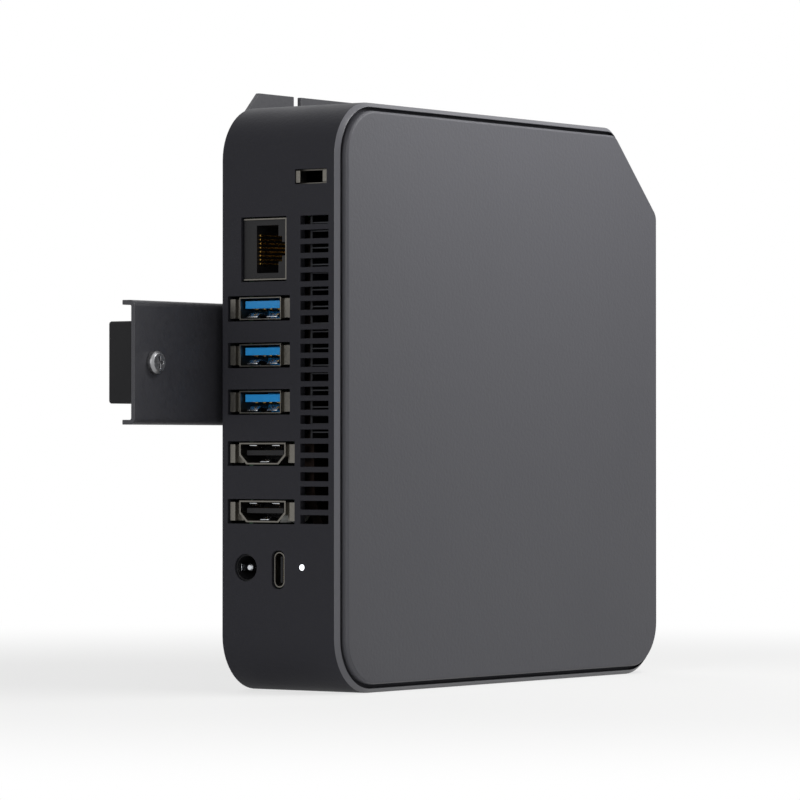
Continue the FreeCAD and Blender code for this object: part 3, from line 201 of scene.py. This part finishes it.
# %% Studio
WHITE = (1, 1, 1, 1)
FILL_LIGHT = 0.088
FLOOR_SIDE = 30
bpy.ops.object.select_all(action="DESELECT")
bpy.ops.mesh.primitive_plane_add(size=FLOOR_SIDE, location=(0, 0, cad_low.z))
floor = bpy.context.object
floor.name = "studio_paper"

paper, tree, place = new_material("studio_paper_matt")
fibre = add_node(tree, "TexNoise", {"Vector": place, "Scale": 1 / (4.0 * MM), "Detail": 3.0})
tone = add_node(tree, "Mix", {FACTOR: fibre, COLOUR_A: to_linear("#EFEFED"),
                              COLOUR_B: to_linear("#F3F3F1")}, COLOUR_OUT, data_type="RGBA")
sheet = add_node(tree, "BsdfPrincipled", {"Base Color": tone, "Roughness": 0.9})
glow = add_node(tree, "Emission", {"Color": WHITE, "Strength": 1.0})
distance = add_node(tree, "VectorMath", {0: place}, "Value", operation="LENGTH")
far_away = add_node(tree, "MapRange", {"Value": distance, "From Min": 0.10, "From Max": 0.40,
                                       "To Min": 0.70, "To Max": 1.0},
                    interpolation_type="SMOOTHSTEP")
fade = add_node(tree, "Math", {0: far_away, 1: plain_view(tree)}, operation="MULTIPLY")
surface = add_node(tree, "MixShader", {0: fade, 1: sheet, 2: glow})
add_node(tree, "OutputMaterial", {"Surface": surface})
floor.data.materials.append(paper)
print("the paper lies at a height in mm of", round(cad_low.z / MM, 1))

world = bpy.data.worlds.new("studio")
bpy.context.scene.world = world
world.use_nodes = True
sky = world.node_tree
sky.nodes.clear()
fill = add_node(sky, "Background", {"Color": WHITE, "Strength": FILL_LIGHT})
white = add_node(sky, "Background", {"Color": WHITE, "Strength": 1.0})
backdrop = add_node(sky, "MixShader", {0: plain_view(sky), 1: fill, 2: white})
add_node(sky, "OutputWorld", {"Surface": backdrop})
bpy.context.scene.view_settings.view_transform = "Standard"
print("even light from all round:", FILL_LIGHT)

# %% [markdown]
# ## Moulded plastics and rubber
# The lid and the walls are ABS from a spark-eroded mould. Spark erosion leaves the steel with
# tiny craters, and the plastic copies them as a fine dull grain, about a quarter of a millimetre
# from crest to crest. It scatters light evenly, so a large flat lid shows a soft sheen and no
# reflections. At this distance that grain would vanish, so it is drawn at 0.8 mm, which is as
# coarse as it needs to be to show. Hands and packing polish it slightly in broad clouds, which is
# the second, larger noise. The sockets' plastics come from smoother moulds, so their grain is
# shallow.

# %% Moulded finishes
def moulded(name, low, high, rough, grain_mm, depth_mm, gloss=0.5):
    """Plastic or rubber that copies the grain of its mould."""
    material, tree, place = new_material(name)
    grain = add_node(tree, "TexNoise", {"Vector": place, "Scale": 1 / (grain_mm * MM),
                                        "Detail": 2.0})
    cloud = add_node(tree, "TexNoise", {"Vector": place, "Scale": 1 / (26.0 * MM), "Detail": 3.0})
    colour = add_node(tree, "Mix", {FACTOR: cloud, COLOUR_A: to_linear(low),
                                    COLOUR_B: to_linear(high)}, COLOUR_OUT, data_type="RGBA")
    roughness = add_node(tree, "MapRange", {"Value": cloud, "From Min": 0.3, "From Max": 0.7,
                                            "To Min": rough - 0.05, "To Max": rough + 0.05})
    normal = add_node(tree, "Bump", {"Height": grain, "Distance": depth_mm * MM, "Strength": 0.5})
    shader = add_node(tree, "BsdfPrincipled", {"Base Color": colour, "Roughness": roughness,
                                               "Normal": normal, "Specular IOR Level": gloss})
    add_node(tree, "OutputMaterial", {"Surface": shader})
    return material


ABS_LID = moulded("abs_lid_spark_eroded", "#4B4B50", "#525257", 0.55, 0.8, 0.13, 0.35)
# The rim's colour is lighter than the wall's: a painted highlight for the light line the chamfer
# catches.
ABS_RIM_PAINTED_HIGHLIGHT = moulded("abs_rim_polished_painted_highlight", "#4E4E54", "#56565C", 0.34, 0.7, 0.006, 0.7)
ABS_WALL = moulded("abs_walls_spark_eroded", "#2A2A2F", "#303035", 0.62, 0.8, 0.11, 0.12)
PBT_BLUE = moulded("pbt_socket_tongue_blue", "#2290DA", "#2C9CE4", 0.32, 0.25, 0.003)
PBT_BLACK = moulded("pbt_socket_insert_black", "#151517", "#1B1B1D", 0.5, 0.25, 0.003, 0.25)
NYLON = moulded("nylon_fan_glass_filled", "#1A1A1B", "#232325", 0.5, 0.6, 0.01)
RUBBER = moulded("silicone_rubber_pressed", "#101012", "#18181A", 0.8, 0.6, 0.03, 0.3)
EPOXY = moulded("epoxy_chip_package", "#19191A", "#232324", 0.5, 0.2, 0.006)
print("plastics:", [m.name for m in bpy.data.materials])

# %% [markdown]
# ## Metals and coatings
# The sockets' shells are steel sheet under nickel, with fine rolling lines from the mill. Their
# colour is set far darker than bright nickel: painted shade for the dark that their reflections
# show.
# Contacts carry a thin flash of gold or tin. The bracket and the base are steel under a powder
# coat, which melts into a skin with a shallow orange-peel swell about a millimetre across.
# Screws are zinc-plated. The fins are aluminium and the heat pipe is copper, both coloured far
# darker than the bare metal: painted shade for the dark inside the case, so little shines behind
# the slots. Metals keep the shader's own index of refraction, because their reflection comes from
# their colour.

# %% Metals and coatings
def plated(name, low, high, rough, streak_mm, stretch=(1, 1, 1)):
    """Sheet or wire under plating, with faint lines drawn out along one direction."""
    material, tree, place = new_material(name)
    drawn = add_node(tree, "Mapping", {"Vector": place, "Scale": stretch})
    lines = add_node(tree, "TexNoise", {"Vector": drawn, "Scale": 1 / (streak_mm * MM),
                                        "Detail": 4.0})
    colour = add_node(tree, "Mix", {FACTOR: lines, COLOUR_A: to_linear(low),
                                    COLOUR_B: to_linear(high)}, COLOUR_OUT, data_type="RGBA")
    roughness = add_node(tree, "MapRange", {"Value": lines, "From Min": 0.3, "From Max": 0.7,
                                            "To Min": rough - 0.06, "To Max": rough + 0.08})
    shader = add_node(tree, "BsdfPrincipled", {"Base Color": colour, "Metallic": 1.0,
                                               "Roughness": roughness})
    add_node(tree, "OutputMaterial", {"Surface": shader})
    return material


def powder_coated(name, low, high, rough):
    """Steel under a baked powder: dull, with an orange-peel swell."""
    material, tree, place = new_material(name)
    swell = add_node(tree, "TexNoise", {"Vector": place, "Scale": 1 / (1.1 * MM), "Detail": 2.0})
    cloud = add_node(tree, "TexNoise", {"Vector": place, "Scale": 1 / (30.0 * MM), "Detail": 2.0})
    colour = add_node(tree, "Mix", {FACTOR: cloud, COLOUR_A: to_linear(low),
                                    COLOUR_B: to_linear(high)}, COLOUR_OUT, data_type="RGBA")
    roughness = add_node(tree, "MapRange", {"Value": swell, "From Min": 0.3, "From Max": 0.7,
                                            "To Min": rough - 0.05, "To Max": rough + 0.06})
    normal = add_node(tree, "Bump", {"Height": swell, "Distance": 0.03 * MM, "Strength": 0.6})
    shader = add_node(tree, "BsdfPrincipled", {"Base Color": colour, "Roughness": roughness,
                                               "Normal": normal})
    add_node(tree, "OutputMaterial", {"Surface": shader})
    return material


# The shells' nickel is coloured far darker than bright nickel: painted shade for the dark their
# reflections show.
NICKEL_PAINTED_SHADE = plated("steel_sheet_nickel_painted_shade", "#5E5C57", "#76736D", 0.36, 0.5, (0.15, 1, 1))
GOLD = plated("bronze_contact_gold_flashed", "#C79B4B", "#DDB566", 0.28, 0.3)
TIN = plated("bronze_contact_tin_plated", "#B9BDC2", "#D2D5D8", 0.26, 0.3)
ZINC = plated("steel_screw_zinc_plated", "#9EA0A4", "#B9BBBE", 0.34, 0.5)
BLACK_ZINC = plated("steel_screw_black_zinc", "#55555A", "#66666B", 0.36, 0.5)
BRIGHT_SCREW = plated("steel_screw_turned_bright", "#8A8A8C", "#98989A", 0.36, 0.5)
# The fins and the heat pipe are coloured far darker than bare aluminium and copper: painted shade
# for the dark inside the case.
FIN_ALUMINIUM_PAINTED_SHADE = plated("aluminium_fin_painted_shade", "#38393C", "#444548", 0.5, 0.6, (1, 1, 0.2))
HEAT_PIPE_COPPER_PAINTED_SHADE = plated("copper_heat_pipe_painted_shade", "#2B2523", "#3A2F2A", 0.5, 1.2)
COAT_BRACKET = powder_coated("steel_bracket_powder_coated", "#303035", "#36363B", 0.5)
COAT_BASE = powder_coated("steel_base_powder_coated", "#222225", "#29292C", 0.55)
print("finishes so far:", len(bpy.data.materials))

# %% [markdown]
# ## Boards, light pipe and the cell
# A circuit board is glass cloth in epoxy under a green lacquer, and the copper tracks under the
# lacquer show as slightly lighter lines about a third of a millimetre wide. The light pipe is
# clear acrylic lit from behind, so it glows white. The coin cell is a stamped steel can.

# %% Boards, light pipe and cell
LACQUER, tree, place = new_material("board_green_solder_lacquer")
tracks = add_node(tree, "TexVoronoi", {"Vector": place, "Scale": 1 / (2.4 * MM)}, "Distance",
                  distance="MANHATTAN", feature="F1")
edge = add_node(tree, "MapRange", {"Value": tracks, "From Min": 0.42, "From Max": 0.5})
tone = add_node(tree, "Mix", {FACTOR: edge, COLOUR_A: to_linear("#12331F"),
                              COLOUR_B: to_linear("#1E5232")}, COLOUR_OUT, data_type="RGBA")
normal = add_node(tree, "Bump", {"Height": edge, "Distance": 0.03 * MM, "Strength": 0.5})
shader = add_node(tree, "BsdfPrincipled", {"Base Color": tone, "Roughness": 0.35, "Normal": normal})
add_node(tree, "OutputMaterial", {"Surface": shader})

ACRYLIC, tree, place = new_material("acrylic_light_pipe_lit")
haze = add_node(tree, "TexNoise", {"Vector": place, "Scale": 1 / (0.8 * MM)})
tone = add_node(tree, "Mix", {FACTOR: haze, COLOUR_A: to_linear("#E4EEF8"),
                              COLOUR_B: to_linear("#FFFFFF")}, COLOUR_OUT, data_type="RGBA")
shader = add_node(tree, "BsdfPrincipled", {"Base Color": tone, "Roughness": 0.25, "IOR": 1.49,
                                           "Emission Color": tone, "Emission Strength": 1.6})
add_node(tree, "OutputMaterial", {"Surface": shader})

CELL_STEEL = plated("steel_coin_cell_stamped", "#A9ABAE", "#BFC1C3", 0.3, 0.4)
print("finishes in all:", len(bpy.data.materials))

# %% [markdown]
# ## Which part has which finish
# The construction gives every part a slot, a word for what it is made as, so one table turns
# slots into finishes. Two parts differ from the rest of their slot: the bracket's screw is turned
# from bright steel, and the plate behind the lock's slot is plated sheet.

# %% Dress the construction
DRESS = {
    "lid": ABS_LID, "housing": ABS_WALL, "button": ABS_WALL, "base": COAT_BASE, "rubber": RUBBER,
    "spacer": RUBBER, "bracket": COAT_BRACKET, "screw_black": BLACK_ZINC, "screw_zinc": ZINC,
    "switch": PBT_BLACK, "plunger": PBT_BLACK, "board": LACQUER, "port_shell": NICKEL_PAINTED_SHADE,
    "port_tongue_blue": PBT_BLUE, "port_tongue_black": PBT_BLACK, "pin": TIN,
    "light_pipe": ACRYLIC, "blower": NYLON, "fins": FIN_ALUMINIUM_PAINTED_SHADE, "copper": HEAT_PIPE_COPPER_PAINTED_SHADE, "chip": EPOXY,
    "cell": CELL_STEEL,
}
special = {"spacer_screw": BRIGHT_SCREW, "lock_plate": NICKEL_PAINTED_SHADE}
finish_of = {name: special.get(name, DRESS[slot_of_node[name]]) for name in nodes}
for name, node in nodes.items():
    for held in node.material_slots:
        held.material = finish_of[name]
print("finishes in use:", len({finish.name for finish in finish_of.values()}))

# %% [markdown]
# ## Softened edges
# No moulded or pressed edge is truly sharp. A mould's cutter leaves a small radius, sheet steel
# rolls over where a punch enters it, and a coat of powder fills every corner. That radius is
# what catches the light and draws the object's outline. Each part that shows is therefore
# copied, the copy's loose triangles are merged into plain faces, and a bevel rounds the edges
# that turn by more than 30 degrees. Weighted normals then keep the large faces flat up to the
# rounding, and the copy stands for the part.

# %% Soften the edges that show
SMOOTH_UNDER = 32       # degrees: a meeting of two faces that turns less is shaded as one curve
BEVEL_OVER = 30         # degrees: an edge that turns more gets a rounding
FLAT_UNDER = 0.5        # degrees: faces that turn less are one plain face
SAME_POINT = 0.002      # mm: corners closer than this are one corner


def alone(piece):
    """Makes one object the only one selected, and the active one."""
    bpy.ops.object.select_all(action="DESELECT")
    piece.select_set(True)
    bpy.context.view_layer.objects.active = piece


def finish_shading(piece):
    """Smooth across roundings, flat on large faces."""
    alone(piece)
    bpy.ops.mesh.customdata_custom_splitnormals_clear()
    bpy.ops.object.shade_smooth_by_angle(angle=math.radians(SMOOTH_UNDER))
    level = piece.modifiers.new("flat_faces", "WEIGHTED_NORMAL")
    level.keep_sharp = True
    bpy.ops.object.modifier_apply(modifier=level.name)


def softened(node, radius_mm, steps=2):
    """A merged copy of a part with rounded edges, which stands for the part."""
    piece = bpy.data.objects.new(node + "_softened", nodes[node].data.copy())
    bpy.context.scene.collection.objects.link(piece)
    alone(piece)
    bpy.ops.mesh.customdata_custom_splitnormals_clear()
    bpy.ops.object.mode_set(mode="EDIT")
    bpy.ops.mesh.select_all(action="SELECT")
    bpy.ops.mesh.remove_doubles(threshold=SAME_POINT * MM)
    bpy.ops.mesh.dissolve_limited(angle_limit=math.radians(FLAT_UNDER))
    bpy.ops.object.mode_set(mode="OBJECT")
    bevel = piece.modifiers.new("edge", "BEVEL")
    bevel.width = radius_mm * MM
    bevel.segments = steps
    bevel.limit_method = "ANGLE"
    bevel.angle_limit = math.radians(BEVEL_OVER)
    bevel.use_clamp_overlap = False
    bpy.ops.object.modifier_apply(modifier=bevel.name)
    finish_shading(piece)
    piece.data.materials.clear()
    piece.data.materials.append(finish_of[node])
    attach(piece, body_of_node[node])
    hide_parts(node)
    return piece


SOFT_EDGES = {
    "lid_plate": 0.18, "housing_shell": 0.12, "base_cover": 0.15, "power_button": 0.12,
    "rubber_feet": 0.4, "bracket_plate": 0.15, "spacer_block": 0.3, "spacer_screw": 0.12,
    "lan_jack_shell": 0.08, "lan_jack_insert": 0.08, "dc_jack_body": 0.08, "usb_c_shell": 0.05,
    "lock_plate": 0.08, "audio_jack": 0.08, "shoulder_screws": 0.12, "base_screws": 0.1,
}
for row in nodes:
    if row.startswith(("usb_rear_shell", "usb_front_shell", "hdmi_shell")):
        SOFT_EDGES[row] = 0.06
    if row.startswith(("usb_rear_tongue", "usb_front_tongue", "hdmi_tongue")):
        SOFT_EDGES[row] = 0.08
soft_pieces = {node: softened(node, radius_mm) for node, radius_mm in SOFT_EDGES.items()}
print("softened parts:", len(soft_pieces),
      " faces:", sum(len(piece.data.polygons) for piece in soft_pieces.values()))

# %% [markdown]
# ## The rim round the lid
# The walls end in a narrow chamfer outside the groove. The mould is polished there, because the
# chamfer is cut after the sparks have done their work, so it is smoother than the wall. Its colour
# is also set lighter than the wall's: a painted highlight for the light line that the chamfer
# catches round the lid. It is one moulding with the wall, so only the material changes: the faces
# near the walls' edge that look half outwards get the smoother, lighter material with the painted
# highlight.

# %% Rim finish
RIM_DEPTH = 1.25        # mm back from the walls' edge
RIM_LEANS = (-0.93, -0.3)   # how far a rim face may look towards -Y, as its normal's Y
walls = soft_pieces["housing_shell"]
# The second material, lighter than the wall's, paints a highlight on the rim's chamfer.
walls.data.materials.append(ABS_RIM_PAINTED_HIGHLIGHT)
edge_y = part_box("housing_shell")[0].y
painted_highlight_rim_faces = [face for face in walls.data.polygons
             if face.center.y < edge_y + RIM_DEPTH * MM
             and RIM_LEANS[0] < face.normal.y < RIM_LEANS[1]]
for face in painted_highlight_rim_faces:
    face.material_index = 1
print("rim faces:", len(painted_highlight_rim_faces))

# %% [markdown]
# ## Recesses in the screw heads
# A cross recess is punched into a head while it is cold, and its floor is a shallow cone. The
# punch is modelled here: a cross of two blocks whose lower faces are drawn in, sunk into each
# head with a boolean. One punch is made, and each screw gets its own copy.

# %% Punch the screw heads
HEADS_APART = 8.0       # mm: corners farther apart than this are on different screws
TIP_SHARE = 0.55        # the punch's tip against its width at the head's face
RECESS_WIDTH = 0.9      # mm, across one arm of the cross
RECESS_DEPTH = 1.1      # mm


def punch(across_mm, wide_mm, deep_mm):
    """A cross-shaped punch that points along -Y, narrower at its tip."""
    arms = []
    for x_size, z_size in ((across_mm, wide_mm), (wide_mm, across_mm)):
        bpy.ops.object.select_all(action="DESELECT")
        bpy.ops.mesh.primitive_cube_add(size=1, location=(0, 0, 0))
        arm = bpy.context.object
        arm.scale = (x_size * MM, 2 * deep_mm * MM, z_size * MM)
        bpy.ops.object.transform_apply(location=True, rotation=True, scale=True)
        for corner in arm.data.vertices:
            corner.select = False
        for edge in arm.data.edges:
            edge.select = False
        for face in arm.data.polygons:
            face.select = face.normal.y < -0.5
        bpy.ops.object.mode_set(mode="EDIT")
        bpy.ops.mesh.select_mode(type="FACE")
        bpy.ops.transform.resize(value=(TIP_SHARE, 1, TIP_SHARE))
        bpy.ops.object.mode_set(mode="OBJECT")
        arms.append(arm)
    return arms


def punched(piece, spots, across_mm, wide_mm, deep_mm):
    """Sinks the punch into a piece at each spot, which lies on a head's face."""
    for arm in punch(across_mm, wide_mm, deep_mm):
        for spot in spots:
            tool = bpy.data.objects.new("punch", arm.data.copy())
            tool.data.transform(Matrix.Translation(spot))
            bpy.context.scene.collection.objects.link(tool)
            alone(piece)
            sink = piece.modifiers.new("recess", "BOOLEAN")
            sink.object = tool
            sink.solver = "EXACT"
            bpy.ops.object.modifier_apply(modifier=sink.name)
            bpy.data.objects.remove(tool)
        bpy.data.objects.remove(arm)
    finish_shading(piece)


def head_faces(piece):
    """The middle of each head: the centre of every separate solid, at its highest Y."""
    groups = []
    for corner in piece.data.vertices:
        spot = Vector((corner.co.x, 0, corner.co.z))
        home = next((group for group in groups
                     if (spot - group[0]).length < HEADS_APART * MM), None)
        if home is None:
            home = [spot, []]
            groups.append(home)
        home[1].append(corner.co.copy())
    spots = []
    for _, corners in groups:
        xs, ys, zs = zip(*corners)
        spots.append(Vector(((min(xs) + max(xs)) / 2, max(ys), (min(zs) + max(zs)) / 2)))
    return spots


for name, across_mm in (("shoulder_screws", 4.4), ("base_screws", 3.4)):
    spots = head_faces(soft_pieces[name])
    punched(soft_pieces[name], spots, across_mm, RECESS_WIDTH, RECESS_DEPTH)
    print(name, "heads punched:", len(spots))

# %% [markdown]
# ## Small springs, made once and copied
# The sockets are full of stamped leaves: contacts that press on a plug and grips in the shell's
# wall. Each is a narrow strip with a hump in it. A strip is drawn flat along X, cut across where
# it bends, and lifted at each cut. It is drawn in its socket's own frame, with X into the mouth,
# Y along its width and Z across it, and copies of the finished set are then laid in the sockets.

# %% Leaf springs
def leaf(length, width, thickness, start, bends):
    """A strip from start, in mm, lifted by each (distance along it, height) pair."""
    bpy.ops.object.select_all(action="DESELECT")
    x, y, z = start
    bpy.ops.mesh.primitive_cube_add(size=1, location=((x + length / 2) * MM, y * MM, z * MM))
    strip = bpy.context.object
    strip.scale = (length * MM, width * MM, thickness * MM)
    bpy.ops.object.transform_apply(location=True, rotation=True, scale=True)
    for along, lift in bends:
        cut_at = (x + along) * MM
        bpy.ops.object.mode_set(mode="EDIT")
        bpy.ops.mesh.select_all(action="SELECT")
        if 0 < along < length:
            bpy.ops.mesh.bisect(plane_co=(cut_at, 0, 0), plane_no=(1, 0, 0))
        bpy.ops.mesh.select_all(action="DESELECT")
        bpy.ops.object.mode_set(mode="OBJECT")
        for corner in strip.data.vertices:
            corner.select = abs(corner.co.x - cut_at) < 0.01 * MM
        bpy.ops.object.mode_set(mode="EDIT")
        bpy.ops.mesh.select_mode(type="VERT")
        bpy.ops.transform.translate(value=(0, 0, lift * MM))
        bpy.ops.object.mode_set(mode="OBJECT")
    alone(strip)
    rounding = strip.modifiers.new("edge", "BEVEL")
    rounding.width = min(width, thickness) * 0.2 * MM
    rounding.segments = 1
    rounding.limit_method = "ANGLE"
    rounding.angle_limit = math.radians(50)
    bpy.ops.object.modifier_apply(modifier=rounding.name)
    bpy.ops.object.shade_smooth_by_angle(angle=math.radians(35))
    return strip


def joined(parts):
    """Several parts as one set."""
    alone(parts[0])
    for part in parts:
        part.select_set(True)
    if len(parts) > 1:
        bpy.ops.object.join()
    return bpy.context.object


def row_of(strip, offsets_mm):
    """Copies of a strip side by side along Y, joined into one set."""
    strips = []
    for offset in offsets_mm:
        twin = bpy.data.objects.new(strip.name, strip.data.copy())
        twin.data.transform(Matrix.Translation((0, offset * MM, 0)))
        bpy.context.scene.collection.objects.link(twin)
        strips.append(twin)
    bpy.data.objects.remove(strip)
    return joined(strips)


# %% [markdown]
# ## A socket's own frame
# The rear USB and HDMI sockets lie with their width along Y. The other sockets of that wall have
# their width along Z, and the two front sockets look the other way. One matrix for each case
# takes a set from its socket's frame to the object's.

# %% Socket frames
UPRIGHT = Matrix(((1, 0, 0), (0, 1, 0), (0, 0, 1))).to_4x4()
ON_EDGE = Matrix(((1, 0, 0), (0, 0, -1), (0, 1, 0))).to_4x4()
FACING_FRONT = Matrix(((-1, 0, 0), (0, 0, -1), (0, -1, 0))).to_4x4()


def mouth_of(node, turn):
    """The matrix that puts a socket's frame at the middle of its mouth."""
    low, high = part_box(node)
    centre = middle(node)
    centre.x = high.x if turn is FACING_FRONT else low.x
    return Matrix.Translation(centre) @ turn


def laid_in(tool, name, node, matrix, finish):
    """A copy of a finished set, laid in one socket."""
    piece = bpy.data.objects.new(name, tool.data.copy())
    piece.data.transform(matrix)
    piece.data.materials.clear()
    piece.data.materials.append(finish)
    bpy.context.scene.collection.objects.link(piece)
    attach(piece, body_of_node[node])
    return piece


def sockets_of(kind, turn, count):
    """Each shell of one kind, with the matrix of its mouth."""
    shells = [f"{kind}_{i + 1}" for i in range(count)]
    return {shell: mouth_of(shell, turn) for shell in shells}


usb_sockets = {**sockets_of("usb_rear_shell", UPRIGHT, 3),
               **sockets_of("usb_front_shell", FACING_FRONT, 2)}
hdmi_sockets = sockets_of("hdmi_shell", UPRIGHT, 2)
print("sockets:", len(usb_sockets) + len(hdmi_sockets))

# %% [markdown]
# ## Inside the USB sockets
# Four long contacts run under the blue tongue and hump towards its front, and five short pads sit
# at its edge. Two grips are stamped out of the shell's lower wall, each in its own window.

# %% USB contacts and grips
contacts = row_of(leaf(8.0, 1.0, 0.15, (3.0, 0, -0.03),
                       [(0, -0.05), (1.1, -0.45), (3.5, -0.1), (8.0, 0.0)]), (-3.5, -1.0, 1.0, 3.5))
pads = row_of(leaf(1.2, 0.8, 0.12, (1.6, 0, 0.02), [(0, 0.06)]), (-3.6, -1.8, 0.0, 1.8, 3.6))
usb_contacts = joined([contacts, pads])
usb_grips = row_of(leaf(6.8, 3.2, 0.2, (0.8, 0, -2.62),
                        [(0, 0.5), (1.5, 1.05), (4.2, 0.35), (6.8, 0.0)]), (-3.1, 3.1))
for node, matrix in usb_sockets.items():
    laid_in(usb_contacts, node.replace("shell", "contacts"), node, matrix, GOLD)
    laid_in(usb_grips, node.replace("shell", "grips"), node, matrix, TIN)
for tool in (usb_contacts, usb_grips):
    bpy.data.objects.remove(tool)
print("contacts in each USB socket: 9, grips: 2")

# %% [markdown]
# ## Inside the HDMI sockets
# Nineteen fine contacts lie in two rows on the tongue's faces, half a millimetre apart from row
# to row. Two grips press down from the shell's upper wall and one up from its lower wall.

# %% HDMI contacts and grips
upper = row_of(leaf(5.0, 0.36, 0.1, (1.5, 0, 0.86), [(0, -0.06)]), [i - 4.5 for i in range(10)])
lower = row_of(leaf(5.0, 0.36, 0.1, (1.5, 0, -0.46), [(0, 0.06)]), [i - 4.0 for i in range(9)])
hdmi_contacts = joined([upper, lower])
over = row_of(leaf(6.2, 2.3, 0.2, (0.9, 0, 2.42),
                   [(0, -0.35), (1.5, -0.75), (3.8, -0.2), (6.2, 0.0)]), (-3.6, 3.6))
under = row_of(leaf(6.2, 2.6, 0.2, (0.9, 0, -2.42),
                    [(0, 0.35), (1.5, 0.75), (3.8, 0.2), (6.2, 0.0)]), (0.0,))
hdmi_grips = joined([over, under])
for node, matrix in hdmi_sockets.items():
    laid_in(hdmi_contacts, node.replace("shell", "contacts"), node, matrix, GOLD)
    laid_in(hdmi_grips, node.replace("shell", "grips"), node, matrix, TIN)
for tool in (hdmi_contacts, hdmi_grips):
    bpy.data.objects.remove(tool)
print("contacts in each HDMI socket: 19, grips: 3")

# %% [markdown]
# ## The network socket's wires
# Eight gold wires, 1.02 mm apart, rise from the mouth's floor towards its back, where the plug
# presses them down. Seen from outside they are what makes the dark mouth glow yellow-brown.

# %% Network wires
low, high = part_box("lan_jack_insert")
floor_of_mouth = Vector((low.x, high.y - 4.0 * MM, (low.z + high.z) / 2))
wires = row_of(leaf(11.0, 0.42, 0.36, (1.0, 0, 0.2),
                    [(0, 0.0), (1.2, 0.1), (7.5, 2.6), (9.0, 2.9), (11.0, 3.0)]),
               [(i - 3.5) * 1.02 for i in range(8)])
laid_in(wires, "lan_wires", "lan_jack_insert", Matrix.Translation(floor_of_mouth) @ ON_EDGE, GOLD)
bpy.data.objects.remove(wires)

# %% [markdown]
# ## The small round-ended socket and the power inlet
# The small socket's tongue carries twelve pads on each face. The power inlet has a
# leaf along the floor of its bore, which presses on the plug's sleeve.

# %% Pads and the inlet's leaf
pad_places = [(i - 5.5) * 0.5 for i in range(12)]
small_pads = joined([row_of(leaf(2.4, 0.26, 0.08, (1.2, 0, height), [(0, 0.0)]), pad_places)
                     for height in (0.35, -0.35)])
laid_in(small_pads, "usb_c_pads", "usb_c_tongue", mouth_of("usb_c_shell", ON_EDGE), GOLD)
inlet_leaf = leaf(8.0, 1.8, 0.2, (1.2, 0, -2.85), [(0, 0.1), (2.5, 0.75), (5.5, 0.3), (8.0, 0.0)])
pin_low, pin_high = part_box("dc_jack_pin")
inlet_mouth = Vector((pin_low.x - 1.0 * MM, (pin_low.y + pin_high.y) / 2,
                      (pin_low.z + pin_high.z) / 2))
laid_in(inlet_leaf, "dc_jack_leaf", "dc_jack_body", Matrix.Translation(inlet_mouth) @ ON_EDGE, TIN)
for tool in (small_pads, inlet_leaf):
    bpy.data.objects.remove(tool)
